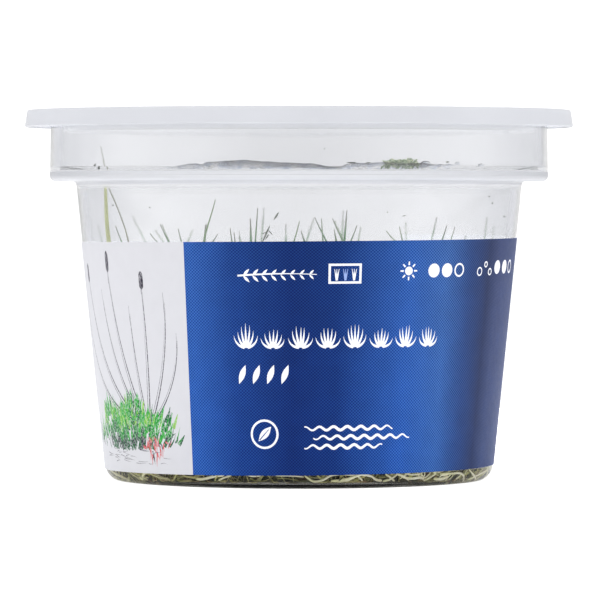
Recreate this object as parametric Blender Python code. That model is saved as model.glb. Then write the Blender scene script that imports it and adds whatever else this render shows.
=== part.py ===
"""Dwarf hairgrass grown in a clear lidded cup with a wrap label.

Lengths are in metres and +Z is up. The origin is the centre of the cup's foot,
on the surface that the cup stands on. The label's front faces -Y.
"""

import math
import random

import bmesh
import bpy
from mathutils import Matrix, Vector

# Heights above the surface
FOOT_RECESS = 0.0004
FLOOR_TOP = 0.0012
SHOULDER_UNDERSIDE = 0.0570
LEDGE_TOP = 0.0587
RIM_TOP = 0.0693
LID_TOP = 0.0706
SKIRT_BOTTOM = 0.0673

# Cup: a tapered body, a step outwards to a wide collar, and a lip for the lid
BODY_RADIUS_AT_FOOT = 0.03685
BODY_TAPER = 0.1021
COLLAR_RADIUS_LOW = 0.04765
COLLAR_RADIUS_HIGH = 0.04745
LIP_RADIUS = 0.0509
LIP_THICKNESS = 0.0012
WALL = 0.0018
COLLAR_WALL = 0.0019
FOOT_FILLET = 0.0029
FLOOR_FILLET = 0.0020
COLLAR_FILLET = 0.0010
FOOT_RING_INNER = 0.0300
FOOT_RING_SLOPE = 0.0008

# Lid: a flange with a skirt outside the lip, and a plug that seats in the collar
SKIRT_RADIUS_HIGH = 0.0519
SKIRT_RADIUS_LOW = 0.0524
SKIRT_THICKNESS = 0.0009
SKIRT_ROUNDING = 0.0005
PLUG_THICKNESS = 0.0010
PLUG_BOTTOM = 0.0664
PANEL_THICKNESS = 0.0009
PANEL_TOP = 0.0676
PANEL_ROUNDING = 0.0006

# Wrap label: a band cut from a cone, a little lower at the left of the front
LABEL_THICKNESS = 0.00012
LABEL_BOTTOM = 0.0026
LABEL_TOP = 0.0455
LABEL_SKEW = 0.00029
LABEL_HALF_ANGLE = math.radians(150.0)

# Contents
ROOT_MAT_TOP = 0.0050
GEL_TOP = 0.0115
CONTENT_FILLET = 0.0018
WATER_LEVEL = 0.0597
WATER_WAVE = 0.0004
WATER_WAVES = 7
FRAGMENT_AZIMUTH = math.radians(25.4)
FRAGMENT_SIZE = (0.0061, 0.0022, 0.0014)

# Grass: one crown per tuft, and six blades grown from each crown
CROWN_RADIUS = 0.0015
CROWN_HEIGHT = 0.0012
CROWN_TOP_SHARE = 0.8
BLADES_PER_TUFT = 6
BLADE_INSET = 0.00016
BLADE_RADIUS = 0.00030
BLADE_TIP_RADIUS = 0.00010
BLADE_RINGS = 3
BLADE_BOW = -0.0004
CROWN_SPREAD = 0.86
FIELD_RADIUS = 0.0335
SHORT_BLADE_LENGTH = (0.0180, 0.0310)
SHORT_BLADE_SPLAY = 0.0026
GOLDEN_SHARE = (math.sqrt(5.0) - 1.0) / 2.0
FIELD_PHASE = 0.30
WALL_CLEARANCE = 0.0007
TUFT_SEED = 11

# The highest blade of each tuft from left to right: its tip's x and z in millimetres
SKYLINE_MM = (
    (-38.5, 48.9),
    (-32.9, 50.4),
    (-27.7, 47.7),
    (-25.4, 48.9),
    (-20.9, 47.7),
    (-17.5, 48.9),
    (-15.2, 53.6),
    (-11.6, 47.5),
    (-9.1, 50.0),
    (-7.0, 52.0),
    (-2.5, 48.9),
    (0.1, 49.6),
    (3.0, 50.2),
    (6.7, 49.6),
    (8.9, 51.5),
    (11.9, 48.3),
    (16.2, 47.7),
    (21.0, 49.1),
    (26.2, 50.2),
    (28.6, 48.5),
    (32.4, 46.6),
    (35.4, 50.2),
    (38.2, 48.4),
)

# The two long blades that lean on the wall at the left front: tips and bows in millimetres
LONG_BLADES_MM = (((-36.9, -14.5, 57.5), 1.8), ((-37.2, -15.8, 63.6), -1.7))
LONG_TUFT_FOOT_MM = (-28.6, -13.4)

GAP = 0.0003
ROUND_STEPS = 60
ARC_STEPS = 3
MERGE_DISTANCE = 1e-6
MILLIMETRE = 0.001


def body_radius(height, outside=0.0):
    """The body's outer radius at a height, moved outwards by a distance."""
    return BODY_RADIUS_AT_FOOT + BODY_TAPER * height + outside


def arc(centre, radius, start_degrees, end_degrees):
    """Points of a fillet in the (radius, height) plane."""
    points = []
    for step in range(ARC_STEPS + 1):
        turn = math.radians(start_degrees + (end_degrees - start_degrees) * step / ARC_STEPS)
        points.append((centre[0] + radius * math.cos(turn), centre[1] + radius * math.sin(turn)))
    return points


def plastic(name, colour, roughness, alpha=1.0):
    """A plain material with one colour."""
    material = bpy.data.materials.new(name)
    material.use_nodes = True
    shader = material.node_tree.nodes["Principled BSDF"]
    shader.inputs["Base Color"].default_value = (*colour, 1.0)
    shader.inputs["Roughness"].default_value = roughness
    shader.inputs["Alpha"].default_value = alpha
    return material


def add_object(name, mesh_tool, material, smooth_degrees=35.0):
    """Turns a bmesh into a named object with outward faces and smooth shading."""
    mesh_tool.normal_update()
    bmesh.ops.recalc_face_normals(mesh_tool, faces=mesh_tool.faces)
    mesh = bpy.data.meshes.new(name)
    mesh_tool.to_mesh(mesh)
    mesh_tool.free()
    mesh.materials.append(material)
    mesh.shade_smooth()
    mesh.set_sharp_from_angle(angle=math.radians(smooth_degrees))
    made = bpy.data.objects.new(name, mesh)
    bpy.context.scene.collection.objects.link(made)
    return made


def turned(profile, start=-math.pi, sweep=2.0 * math.pi, steps=ROUND_STEPS, closed=False):
    """Spins a profile of (radius, height) points about Z. A closed profile doesn't reach the axis."""
    mesh_tool = bmesh.new()
    first = Vector((math.sin(start), -math.cos(start), 0.0))
    points = [mesh_tool.verts.new(first * radius + Vector((0.0, 0.0, height))) for radius, height in profile]
    edges = [mesh_tool.edges.new(pair) for pair in zip(points, points[1:])]
    if closed:
        edges.append(mesh_tool.edges.new((points[-1], points[0])))
    full_turn = math.isclose(sweep, 2.0 * math.pi)
    bmesh.ops.spin(
        mesh_tool,
        geom=points + edges,
        cent=(0.0, 0.0, 0.0),
        axis=(0.0, 0.0, 1.0),
        angle=sweep,
        steps=steps,
        use_merge=full_turn,
    )
    bmesh.ops.remove_doubles(mesh_tool, verts=mesh_tool.verts, dist=MERGE_DISTANCE)
    return mesh_tool


def add_cup(material):
    foot = body_radius(FOOT_FILLET) - FOOT_FILLET
    inner_foot = body_radius(FLOOR_TOP + FLOOR_FILLET, -WALL) - FLOOR_FILLET
    collar_corner = (COLLAR_RADIUS_LOW - COLLAR_FILLET, SHOULDER_UNDERSIDE + COLLAR_FILLET)
    profile = [
        (0.0, FOOT_RECESS),
        (FOOT_RING_INNER - FOOT_RING_SLOPE, FOOT_RECESS),
        (FOOT_RING_INNER, 0.0),
    ]
    profile += arc((foot, FOOT_FILLET), FOOT_FILLET, -90.0, 0.0)
    profile.append((body_radius(SHOULDER_UNDERSIDE), SHOULDER_UNDERSIDE))
    profile += arc(collar_corner, COLLAR_FILLET, -90.0, 0.0)
    profile += [
        (COLLAR_RADIUS_HIGH, RIM_TOP - LIP_THICKNESS),
        (LIP_RADIUS, RIM_TOP - LIP_THICKNESS),
        (LIP_RADIUS, RIM_TOP),
        (COLLAR_RADIUS_HIGH - COLLAR_WALL, RIM_TOP),
        (COLLAR_RADIUS_LOW - COLLAR_WALL, LEDGE_TOP),
        (body_radius(LEDGE_TOP, -WALL), LEDGE_TOP),
    ]
    profile += arc((inner_foot, FLOOR_TOP + FLOOR_FILLET), FLOOR_FILLET, 0.0, -90.0)
    profile.append((0.0, FLOOR_TOP))
    return add_object("cup", turned(profile), material)


def add_lid(material):
    plug_outer = COLLAR_RADIUS_HIGH - COLLAR_WALL - GAP
    plug_inner = plug_outer - PLUG_THICKNESS
    flange_underside = RIM_TOP + GAP
    rounding = (SKIRT_RADIUS_HIGH - SKIRT_ROUNDING, LID_TOP - SKIRT_ROUNDING)
    profile = [
        (0.0, PANEL_TOP),
        (plug_inner - PANEL_ROUNDING, PANEL_TOP),
        (plug_inner, PANEL_TOP + PANEL_ROUNDING),
        (plug_inner, LID_TOP),
    ]
    profile += arc(rounding, SKIRT_ROUNDING, 90.0, 0.0)
    profile += [
        (SKIRT_RADIUS_LOW, SKIRT_BOTTOM),
        (SKIRT_RADIUS_LOW - SKIRT_THICKNESS, SKIRT_BOTTOM),
        (SKIRT_RADIUS_HIGH - SKIRT_THICKNESS + GAP, flange_underside),
        (plug_outer, flange_underside),
        (plug_outer, PLUG_BOTTOM + PANEL_ROUNDING),
        (plug_outer - PANEL_ROUNDING, PLUG_BOTTOM),
        (plug_inner - PANEL_ROUNDING, PLUG_BOTTOM),
        (plug_inner - 2.0 * PANEL_ROUNDING, PANEL_TOP - PANEL_THICKNESS),
        (0.0, PANEL_TOP - PANEL_THICKNESS),
    ]
    return add_object("lid", turned(profile), material)


def add_label(material):
    """The label's edges stay on the cone while its height shifts with the angle from the front."""
    profile = [
        (body_radius(LABEL_BOTTOM, GAP), LABEL_BOTTOM),
        (body_radius(LABEL_TOP, GAP), LABEL_TOP),
        (body_radius(LABEL_TOP, GAP + LABEL_THICKNESS), LABEL_TOP),
        (body_radius(LABEL_BOTTOM, GAP + LABEL_THICKNESS), LABEL_BOTTOM),
    ]
    steps = round(ROUND_STEPS * LABEL_HALF_ANGLE / math.pi)
    mesh_tool = turned(profile, -LABEL_HALF_ANGLE, 2.0 * LABEL_HALF_ANGLE, steps, closed=True)
    ends = [edge for edge in mesh_tool.edges if edge.is_boundary]
    bmesh.ops.holes_fill(mesh_tool, edges=ends)
    for corner in mesh_tool.verts:
        azimuth = math.atan2(corner.co.x, -corner.co.y)
        rise = LABEL_SKEW * azimuth
        outwards = Vector((corner.co.x, corner.co.y, 0.0)).normalized()
        corner.co += Vector((0.0, 0.0, rise)) + outwards * rise * BODY_TAPER
    return add_object("label", mesh_tool, material)


def filled_disc(name, low, high, corner, material):
    """A disc that fills the body between two heights, rounded below where it meets the floor."""
    foot = body_radius(low + corner, -WALL - GAP) - corner
    profile = [(0.0, low)]
    profile += arc((foot, low + corner), corner, -90.0, 0.0) if corner else [(foot, low)]
    profile += [(body_radius(high, -WALL - GAP), high), (0.0, high)]
    return add_object(name, turned(profile), material)


def add_ledge_water(material):
    """A ring of water on the ledge, with a gently wavy top that is lowest under the leaf scrap."""
    bottom = LEDGE_TOP + GAP
    inner = body_radius(LEDGE_TOP, -WALL) + GAP
    outer = COLLAR_RADIUS_LOW - COLLAR_WALL - 2.0 * GAP
    profile = [(inner, bottom), (outer, bottom), (outer, WATER_LEVEL), (inner + GAP, WATER_LEVEL)]
    mesh_tool = turned(profile, closed=True)
    for corner in mesh_tool.verts:
        if corner.co.z > bottom + MERGE_DISTANCE:
            azimuth = math.atan2(corner.co.x, -corner.co.y)
            corner.co.z -= WATER_WAVE * math.cos(WATER_WAVES * (azimuth - FRAGMENT_AZIMUTH))
    return add_object("ledge_water", mesh_tool, material)


def add_leaf_fragment(material):
    """A small scrap of leaf over a trough of the ledge's water, clear of it by about the wave's height."""
    centre_radius = (body_radius(LEDGE_TOP, -WALL) + COLLAR_RADIUS_LOW - COLLAR_WALL) / 2.0
    mesh_tool = bmesh.new()
    bmesh.ops.create_icosphere(mesh_tool, subdivisions=2, radius=0.5)
    bmesh.ops.scale(mesh_tool, vec=FRAGMENT_SIZE, verts=mesh_tool.verts)
    lift = WATER_LEVEL + FRAGMENT_SIZE[2] / 2.0
    place = Matrix.Rotation(FRAGMENT_AZIMUTH, 4, "Z") @ Matrix.Translation((0.0, -centre_radius, lift))
    bmesh.ops.transform(mesh_tool, matrix=place, verts=mesh_tool.verts)
    return add_object("leaf_fragment", mesh_tool, material)


def grow_blade(mesh_tool, face, path):
    """Extrudes one face along a path and narrows it towards the tip."""
    for step, point in enumerate(path, start=1):
        face = bmesh.ops.extrude_discrete_faces(mesh_tool, faces=[face])["faces"][0]
        centre = face.calc_center_median()
        radius = BLADE_RADIUS + (BLADE_TIP_RADIUS - BLADE_RADIUS) * (step / len(path)) ** 2
        for corner in face.verts:
            corner.co = point + (corner.co - centre).normalized() * radius


def blade_path(foot, tip, bow):
    """Points on a blade's centreline, which stands off the straight line by the bow halfway up."""
    outwards = Vector((tip.x, tip.y, 0.0)).normalized()
    points = []
    for step in range(1, BLADE_RINGS + 1):
        share = step / BLADE_RINGS
        points.append(foot.lerp(tip, share) + outwards * bow * 4.0 * share * (1.0 - share))
    return points


def add_tuft(name, centre, blades, material):
    """One plant: a low crown on the gel, with its blades grown from the facets of the crown's top.

    The blades are given in the order of the facets, by azimuth, so that none crosses another.
    """
    mesh_tool = bmesh.new()
    bmesh.ops.create_cone(
        mesh_tool,
        cap_ends=True,
        segments=BLADES_PER_TUFT,
        radius1=CROWN_RADIUS,
        radius2=CROWN_RADIUS * CROWN_TOP_SHARE,
        depth=CROWN_HEIGHT,
    )
    lift = Vector((0.0, 0.0, GEL_TOP + GAP + CROWN_HEIGHT / 2.0))
    bmesh.ops.translate(mesh_tool, vec=centre + lift, verts=mesh_tool.verts)
    top = max(mesh_tool.faces, key=lambda face: face.calc_center_median().z)
    facets = bmesh.ops.poke(mesh_tool, faces=[top])["faces"]
    facets.sort(key=lambda face: azimuth(face.calc_center_median() - centre))
    bmesh.ops.inset_individual(mesh_tool, faces=facets, thickness=BLADE_INSET)
    for face, (tip, bow) in zip(facets, blades):
        grow_blade(mesh_tool, face, blade_path(face.calc_center_median(), tip, bow))
    return add_object(name, mesh_tool, material, smooth_degrees=80.0)


def azimuth(offset):
    """The angle about Z from +X, from minus to plus half a turn."""
    return math.atan2(offset.y, offset.x)


def facet_azimuth(index):
    """The azimuth of a facet of a crown's top, in the order that add_tuft takes them."""
    return -math.pi + 2.0 * math.pi * (index + 0.5) / BLADES_PER_TUFT


def tuft_centre(index, tip_x):
    """Tufts stand under their highest tips, and a golden ratio sequence spreads them in depth."""
    x = tip_x * CROWN_SPREAD
    chord = math.sqrt(max(FIELD_RADIUS**2 - x**2, 0.0))
    share = (FIELD_PHASE + index * GOLDEN_SHARE) % 1.0
    return Vector((x, chord * (2.0 * share - 1.0), 0.0))


def inside_wall(point):
    """The point, moved towards the axis if it would touch the body's wall."""
    limit = body_radius(point.z, -WALL) - WALL_CLEARANCE
    reach = math.hypot(point.x, point.y)
    share = min(1.0, limit / reach)
    return Vector((point.x * share, point.y * share, point.z))


def tuft_blades(centre, highest, chance):
    """The tips and bows of one tuft: the highest blade, and shorter ones that splay around it."""
    blades = [(inside_wall(Vector((highest[0], centre.y / CROWN_SPREAD, highest[1]))), BLADE_BOW)]
    for index in range(1, BLADES_PER_TUFT):
        length = chance.uniform(*SHORT_BLADE_LENGTH)
        lean = 1.0 + (1.0 / CROWN_SPREAD - 1.0) * length / (highest[1] - GEL_TOP)
        splay = SHORT_BLADE_SPLAY * chance.uniform(0.7, 1.0)
        turn = facet_azimuth(index)
        tip = centre * lean + Vector((math.cos(turn), math.sin(turn), 0.0)) * splay
        tip.z = GEL_TOP + CROWN_HEIGHT + length
        blades.append((inside_wall(tip), BLADE_BOW))
    return blades


def add_tufts(grass, old_grass):
    chance = random.Random(TUFT_SEED)
    for index, (tip_x, tip_z) in enumerate(SKYLINE_MM):
        highest = (tip_x * MILLIMETRE, tip_z * MILLIMETRE)
        centre = tuft_centre(index, highest[0])
        add_tuft(f"tuft_{index + 1:02d}", centre, tuft_blades(centre, highest, chance), grass)
    foot = Vector((*LONG_TUFT_FOOT_MM, 0.0)) * MILLIMETRE
    blades = [(Vector(tip) * MILLIMETRE, bow * MILLIMETRE) for tip, bow in LONG_BLADES_MM]
    add_tuft("tuft_long", foot, blades, old_grass)


def build():
    for old in list(bpy.data.objects):
        bpy.data.objects.remove(old, do_unlink=True)
    clear = plastic("clear_plastic", (0.86, 0.87, 0.90), 0.15, alpha=0.3)
    add_cup(clear)
    add_lid(clear)
    add_label(plastic("label_film", (0.035, 0.085, 0.33), 0.35))
    roots = plastic("root_mat", (0.10, 0.11, 0.05), 0.7)
    filled_disc("root_mat", FLOOR_TOP + GAP, ROOT_MAT_TOP, CONTENT_FILLET, roots)
    jelly = plastic("gel", (0.55, 0.56, 0.40), 0.1, alpha=0.5)
    filled_disc("gel", ROOT_MAT_TOP + GAP, GEL_TOP, 0.0, jelly)
    water = plastic("water", (0.80, 0.84, 0.86), 0.05, alpha=0.4)
    add_ledge_water(water)
    add_leaf_fragment(plastic("leaf_scrap", (0.20, 0.32, 0.17), 0.6))
    add_tufts(plastic("grass", (0.14, 0.30, 0.05), 0.5), plastic("old_grass", (0.38, 0.42, 0.08), 0.5))


build()
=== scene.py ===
"""Looks of the dwarf hairgrass in its clear lidded cup. Lengths are in metres, and +Z is up."""

import math
import random

import bmesh
import bpy
import numpy as np
from mathutils import Matrix, Vector, noise
from mathutils.geometry import delaunay_2d_cdt


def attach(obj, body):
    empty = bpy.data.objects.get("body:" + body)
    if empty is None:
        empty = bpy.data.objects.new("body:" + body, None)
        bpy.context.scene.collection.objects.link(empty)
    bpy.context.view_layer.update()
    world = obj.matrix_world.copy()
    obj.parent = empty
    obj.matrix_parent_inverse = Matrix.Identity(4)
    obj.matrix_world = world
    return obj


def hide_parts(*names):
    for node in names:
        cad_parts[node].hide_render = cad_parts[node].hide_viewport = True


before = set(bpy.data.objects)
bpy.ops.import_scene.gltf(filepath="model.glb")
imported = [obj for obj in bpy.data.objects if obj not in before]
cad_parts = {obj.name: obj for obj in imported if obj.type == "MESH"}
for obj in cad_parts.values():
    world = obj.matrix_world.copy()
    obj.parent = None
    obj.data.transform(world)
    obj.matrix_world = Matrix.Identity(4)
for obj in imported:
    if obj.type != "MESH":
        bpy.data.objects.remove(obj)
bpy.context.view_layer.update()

MILLIMETRE = 0.001
FULL_TURN = 2.0 * math.pi
WHITE = (1.0, 1.0, 1.0, 1.0)

# Camera, light and floor
SENSOR_WIDTH = 36.0
EYE_HEIGHT = 0.0535
EYE_DISTANCE = 1.0143
EYE_SIDE = 0.00019
AIM_HEIGHT = 0.0343
VIEW_WIDTH = 0.11483
FLOOR_SIDE = 0.7
FLOOR_DROP = 0.00005
FLOOR_GLOW = 0.28
FLOOR_GLOW_SEEN = 0.90
STUDIO_STRENGTH = 1.12
OVERHEAD_STRENGTH = 0.45
BACKDROP_STRENGTH = 1.3

# Cup, as in the solids
FOOT_RECESS = 0.0004
FLOOR_TOP = 0.0012
SHOULDER_UNDERSIDE = 0.0570
LEDGE_TOP = 0.0587
RIM_TOP = 0.0693
BODY_RADIUS_AT_FOOT = 0.03685
BODY_TAPER = 0.1021
COLLAR_RADIUS_LOW = 0.04765
COLLAR_RADIUS_HIGH = 0.04745
LIP_RADIUS = 0.0509
LIP_THICKNESS = 0.0012
WALL = 0.0018
COLLAR_WALL = 0.0019
FOOT_ROUNDING = 0.0029
FOOT_SHADOW_TOP = 0.0004
FOOT_RING_INNER = 0.0300
FOOT_RING_SLOPE = 0.0008
GAP = 0.0003

# Lid, as in the solids
LID_TOP = 0.0706
SKIRT_BOTTOM = 0.0673
SKIRT_RADIUS_HIGH = 0.0519
SKIRT_RADIUS_LOW = 0.0524
SKIRT_THICKNESS = 0.0009
PLUG_THICKNESS = 0.0010
PLUG_BOTTOM = 0.0664
PANEL_THICKNESS = 0.0009
PANEL_TOP = 0.0676

# A low round bead on the lid's centre panel
BEAD_RADIUS = 0.0300
BEAD_HEIGHT = 0.0004
BEAD_WIDTH = 0.0018

# Roundings of the cup's and the lid's edges
FLOOR_CORNER = 0.0020
RIM_ROUNDING = 0.0004
FINE_ROUNDING = 0.0003

# Label
LABEL_GAP = 0.00004
LABEL_THICKNESS = 0.00010
LABEL_BOTTOM = 0.0026
LABEL_TOP = 0.04585
LABEL_SKEW = 0.00029
LABEL_HALF_ANGLE = 150.0
LABEL_MIDDLE_RADIUS = 0.0394
PRINT_BOTTOM = LABEL_BOTTOM / MILLIMETRE
PRINT_TOP = LABEL_TOP / MILLIMETRE

# Contents, as in the solids
GEL_TOP = 0.0115
WATER_LEVEL = 0.0597
FRAGMENT_AZIMUTH = 25.4
CROWN_HEIGHT = 0.0012
BLADES_PER_TUFT = 6
CROWN_SPREAD = 0.86
FIELD_RADIUS = 0.0335
SHORT_BLADE_LENGTH = (0.0180, 0.0310)
SHORT_BLADE_SPLAY = 0.0026
GOLDEN_SHARE = (math.sqrt(5.0) - 1.0) / 2.0
FIELD_PHASE = 0.30
WALL_CLEARANCE = 0.0007
TUFT_SEED = 11
SKYLINE_MM = (
    (-38.5, 48.9), (-32.9, 50.4), (-27.7, 47.7), (-25.4, 48.9), (-20.9, 47.7), (-17.5, 48.9),
    (-15.2, 53.6), (-11.6, 47.5), (-9.1, 50.0), (-7.0, 52.0), (-2.5, 48.9), (0.1, 49.6), (3.0, 50.2),
    (6.7, 49.6), (8.9, 51.5), (11.9, 48.3), (16.2, 47.7), (21.0, 49.1), (26.2, 50.2), (28.6, 48.5),
    (32.4, 46.6), (35.4, 50.2), (38.2, 48.4),
)

# How far each highest blade leans between the label's top edge and its tip, and its thickness
LABEL_EDGE = 0.0456
BEND_HEIGHT = 0.0415
STEEPEST_LEAN = 0.62
LEANS_MM = (
    (0.7, 0.5), (2.1, 0.5), (1.1, 0.6), (1.1, 0.6), (-0.5, 0.7), (-0.2, 1.0), (-1.8, 1.0), (0.2, 0.8),
    (0.2, 0.9), (-0.4, 0.9), (0.0, 0.8), (-0.8, 0.8), (-1.1, 0.9), (1.3, 0.7), (-0.3, 1.1), (-0.4, 0.7),
    (-1.6, 0.8), (0.0, 0.6), (-0.9, 0.6), (-0.7, 0.5), (-0.3, 0.4), (-0.5, 0.3), (-0.4, 0.4),
)

# Blades at the front wall: the tip, the side place where it passes the label's top edge, and its thickness
FRONT_BLADES_MM = (
    ((-33.7, -19.3, 48.7), -32.8, 0.5), ((-27.2, -27.5, 47.3), -26.2, 0.6),
    ((-25.3, -29.5, 49.0), -24.1, 0.6), ((-22.0, -31.9, 48.2), -21.5, 0.6),
    ((-17.0, -34.9, 49.0), -17.1, 1.5), ((-14.8, -35.7, 47.2), -15.5, 0.8),
    ((-12.5, -36.7, 48.3), -12.2, 0.7), ((-11.8, -36.9, 47.5), -11.6, 0.7),
    ((-8.8, -38.0, 50.1), -8.7, 1.5), ((-7.5, -38.4, 52.0), -7.8, 0.9), ((0.4, -38.7, 47.9), 0.9, 1.4),
    ((2.9, -38.9, 50.3), 4.6, 1.1), ((4.1, -38.7, 50.1), 4.3, 0.8), ((6.1, -38.5, 50.1), 7.6, 0.7),
    ((6.4, -38.2, 48.1), 6.7, 1.5), ((8.7, -38.1, 51.6), 8.3, 1.4), ((10.5, -37.4, 48.8), 9.6, 0.8),
    ((18.3, -34.2, 48.6), 18.7, 0.8), ((27.0, -27.9, 48.8), 26.2, 0.9),
)

# Flecks on the inner wall: from one (degrees, height) to another, and the radius
FLECKS_MM = (
    ((-5.3, 51.2), (-6.5, 49.9), 0.20), ((-7.6, 48.8), (-9.7, 45.7), 0.19),
    ((-8.0, 47.9), (-6.9, 47.1), 0.12), ((-8.6, 47.6), (-9.6, 47.3), 0.09),
    ((-7.9, 47.2), (-8.9, 46.2), 0.12), ((27.9, 50.5), (29.1, 50.7), 0.08),
    ((5.7, 62.7), (5.9, 62.9), 0.13), ((23.5, 51.2), (23.8, 51.3), 0.11),
    ((-57.8, 52.4), (-57.4, 52.7), 0.13), ((-42.7, 52.1), (-42.3, 52.2), 0.12),
    ((-55.4, 58.9), (-54.9, 60.2), 0.22), ((-76.2, 58.9), (-75.6, 59.1), 0.25),
    ((59.3, 54.1), (59.6, 54.3), 0.14), ((61.4, 52.8), (61.6, 53.1), 0.15),
    ((70.7, 50.3), (71.0, 50.6), 0.20), ((74.0, 59.1), (77.0, 59.2), 0.16),
    ((10.9, 60.25), (13.0, 60.3), 0.12), ((15.3, 60.2), (16.6, 60.3), 0.10),
    ((35.8, 60.4), (36.8, 60.45), 0.13),
)
# Drops on the collar's inner wall: degrees, height, half width and half height
DROPS_MM = (
    (30.4, 60.0, 1.10, 0.62), (39.5, 60.2, 0.50, 0.30), (-17.0, 60.3, 0.55, 0.36),
    (47.0, 59.9, 0.70, 0.30),
)
DROP_DEPTH = 0.00040
# The water's upper edge at the front: degrees and height
WATER_EDGE_MM = (
    (-100.0, 59.7), (-54.0, 59.8), (-37.0, 59.8), (-31.9, 59.6), (-27.0, 59.9), (-24.0, 60.2),
    (-22.7, 59.9), (-21.4, 60.3), (-17.3, 60.6), (-12.3, 60.8), (-8.0, 60.5), (-2.3, 60.3), (2.1, 60.1),
    (4.8, 59.9), (7.0, 59.5), (9.8, 59.6), (10.6, 60.0), (13.0, 60.3), (15.1, 60.1), (19.7, 60.4),
    (24.0, 60.1), (28.7, 60.3), (33.0, 60.0), (37.1, 60.1), (41.7, 59.9), (61.0, 60.1), (79.0, 60.0),
    (100.0, 59.7),
)

# Pale runners at the foot of the front wall: the radius and then (degrees, height) points
FRONT_RUNNERS_MM = (
    (0.24, (1.7, 2.5), (4.4, 1.6), (7.3, 1.8), (9.6, 2.5), (12.4, 2.7), (17.1, 2.6)),
    (0.27, (10.0, 1.6), (13.8, 1.8), (17.2, 2.3), (19.7, 2.6), (22.4, 2.3), (24.2, 1.8), (26.6, 1.6)),
    (0.20, (17.5, 2.6), (18.9, 2.0), (20.0, 1.6)),
    (0.22, (27.1, 2.6), (29.1, 2.0), (31.3, 1.5)),
    (0.22, (27.0, 1.5), (29.3, 1.8), (30.7, 2.2), (31.1, 2.7)),
    (0.17, (32.7, 1.8), (34.1, 2.3), (35.6, 2.8)),
    (0.18, (34.1, 2.6), (36.9, 2.4), (39.9, 2.5)),
    (0.27, (33.2, 2.1), (36.8, 1.8), (40.3, 1.9), (43.5, 1.5)),
    (0.22, (42.9, 1.5), (45.1, 2.1), (48.7, 2.8)),
    (0.24, (48.8, 2.4), (53.6, 2.3), (58.2, 2.3), (62.0, 1.8), (64.2, 1.5)),
    (0.16, (39.8, 2.9), (40.9, 2.3), (42.2, 1.8)),
    (0.14, (54.4, 2.1), (54.7, 1.7), (54.6, 1.5)),
    (0.30, (-33.6, 1.8), (-30.7, 1.8), (-26.4, 2.3), (-23.2, 2.5)),
    (0.22, (-25.5, 1.6), (-23.7, 2.0), (-21.0, 2.5)),
    (0.13, (-7.0, 2.5), (-2.7, 2.5), (1.5, 2.3)),
    (0.15, (38.3, 2.7), (39.4, 2.3), (40.6, 1.8)),
    (0.14, (39.9, 2.8), (40.4, 2.2), (41.2, 1.6)),
    (0.13, (41.2, 2.8), (41.5, 2.2), (41.9, 1.6)),
    (0.14, (43.7, 2.7), (42.9, 2.1), (42.2, 1.5)),
    (0.13, (48.3, 2.4), (48.7, 1.9), (48.6, 1.4)),
    (0.15, (53.3, 2.2), (53.1, 1.8), (52.8, 1.4)),
    (0.15, (59.2, 2.1), (58.6, 1.7), (58.0, 1.4)),
    (0.16, (62.2, 2.9), (62.1, 2.1), (61.8, 1.5)),
    (0.18, (63.6, 2.8), (68.2, 2.0), (73.0, 1.5)),
    (0.16, (65.8, 1.5), (71.4, 1.9), (80.0, 2.5)),
    (0.20, (12.0, 1.5), (14.9, 1.7), (17.4, 2.2)),
    (0.22, (-82.0, 2.6), (-76.0, 2.1), (-68.0, 1.6)),
    (0.18, (-62.0, 2.4), (-58.0, 1.9), (-54.8, 1.5)),
    (0.20, (-52.5, 2.3), (-48.6, 1.9), (-44.1, 1.6)),
    (0.34, (45.0, 2.7), (48.4, 2.3), (52.0, 2.2)),
    (0.30, (46.6, 1.7), (49.8, 1.6), (53.2, 1.9)),
    (0.26, (31.0, 2.6), (33.6, 2.2), (36.0, 1.6)),
    (0.22, (-16.0, 2.7), (-14.0, 2.4), (-11.6, 2.5)),
)
FRONT_RUNNER_THINNESS = 0.8

# Runners and roots at the wall. The turns are in degrees from the front
FRONT_RUNNER_TURNS = (-36.0, 66.0)
BARE_TURNS = (-26.0, 4.0)
RUNNERS = 120
RUNNER_SIDES = 8
ROOT_SIDES = 5
ROOT_THICKNESS = (0.00007, 0.00016)
ROOT_TURN_RADIUS = 0.035
LOW_ROOTS = 300
HANGING_ROOTS = 380
OLD_LEAVES = 340
OLD_LEAF_THICKNESS = (0.00014, 0.00030)

# The tuft with two long blades that lean on the wall: route, radius, tip radius and shade
LONG_TUFT_FOOT_MM = (-28.6, -13.4)
LONG_TUFT_BLADES = 18
LONG_ROUTES_MM = (
    (
        ((-28.6, -13.4, 10.4), (-32.0, -15.0, 28.0), (-34.9, -17.2, 45.5), (-35.7, -17.8, 57.6)),
        0.00040,
        0.00024,
        0.0,
    ),
    (
        (
            (-28.0, -14.0, 10.4), (-29.6, -15.0, 28.0), (-31.6, -16.2, 45.5),
            (-35.4, -17.6, 57.0), (-36.9, -15.8, 63.6),
        ),
        0.00014,
        0.00005,
        1.0,
    ),
)

# Grass blades, main and fine, the lawn between the tufts, and the runners on the gel
BLADE_SIDES = 6
BLADE_RADIUS = 0.00023
BLADE_TIP_RADIUS = 0.00008
MAIN_BLADE_SPREAD = 0.0008
TUFT_FOOT = GEL_TOP - 0.0012
FINE_BLADES = 44
FINE_BLADE_SPREAD = 0.0038
FINE_BLADE_LENGTH = (0.013, 0.0335)
FINE_BLADE_SHORTENING = 0.3
FINE_BLADE_LEAN = 0.10 / 0.03
FINE_BLADE_SPLAY = (0.0005, 0.0034)
FINE_BLADE_SCATTER = 0.0012
FINE_BLADE_RADIUS = (0.00016, 0.00025)
FINE_TIP_RADIUS = 0.00006
LAWN_BLADES = 620
LAWN_RADIUS = 0.0362
LAWN_LEAN = 0.0022
LAWN_HEIGHT = (0.007, 0.024)
STOLONS_PER_TUFT = 3

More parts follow.
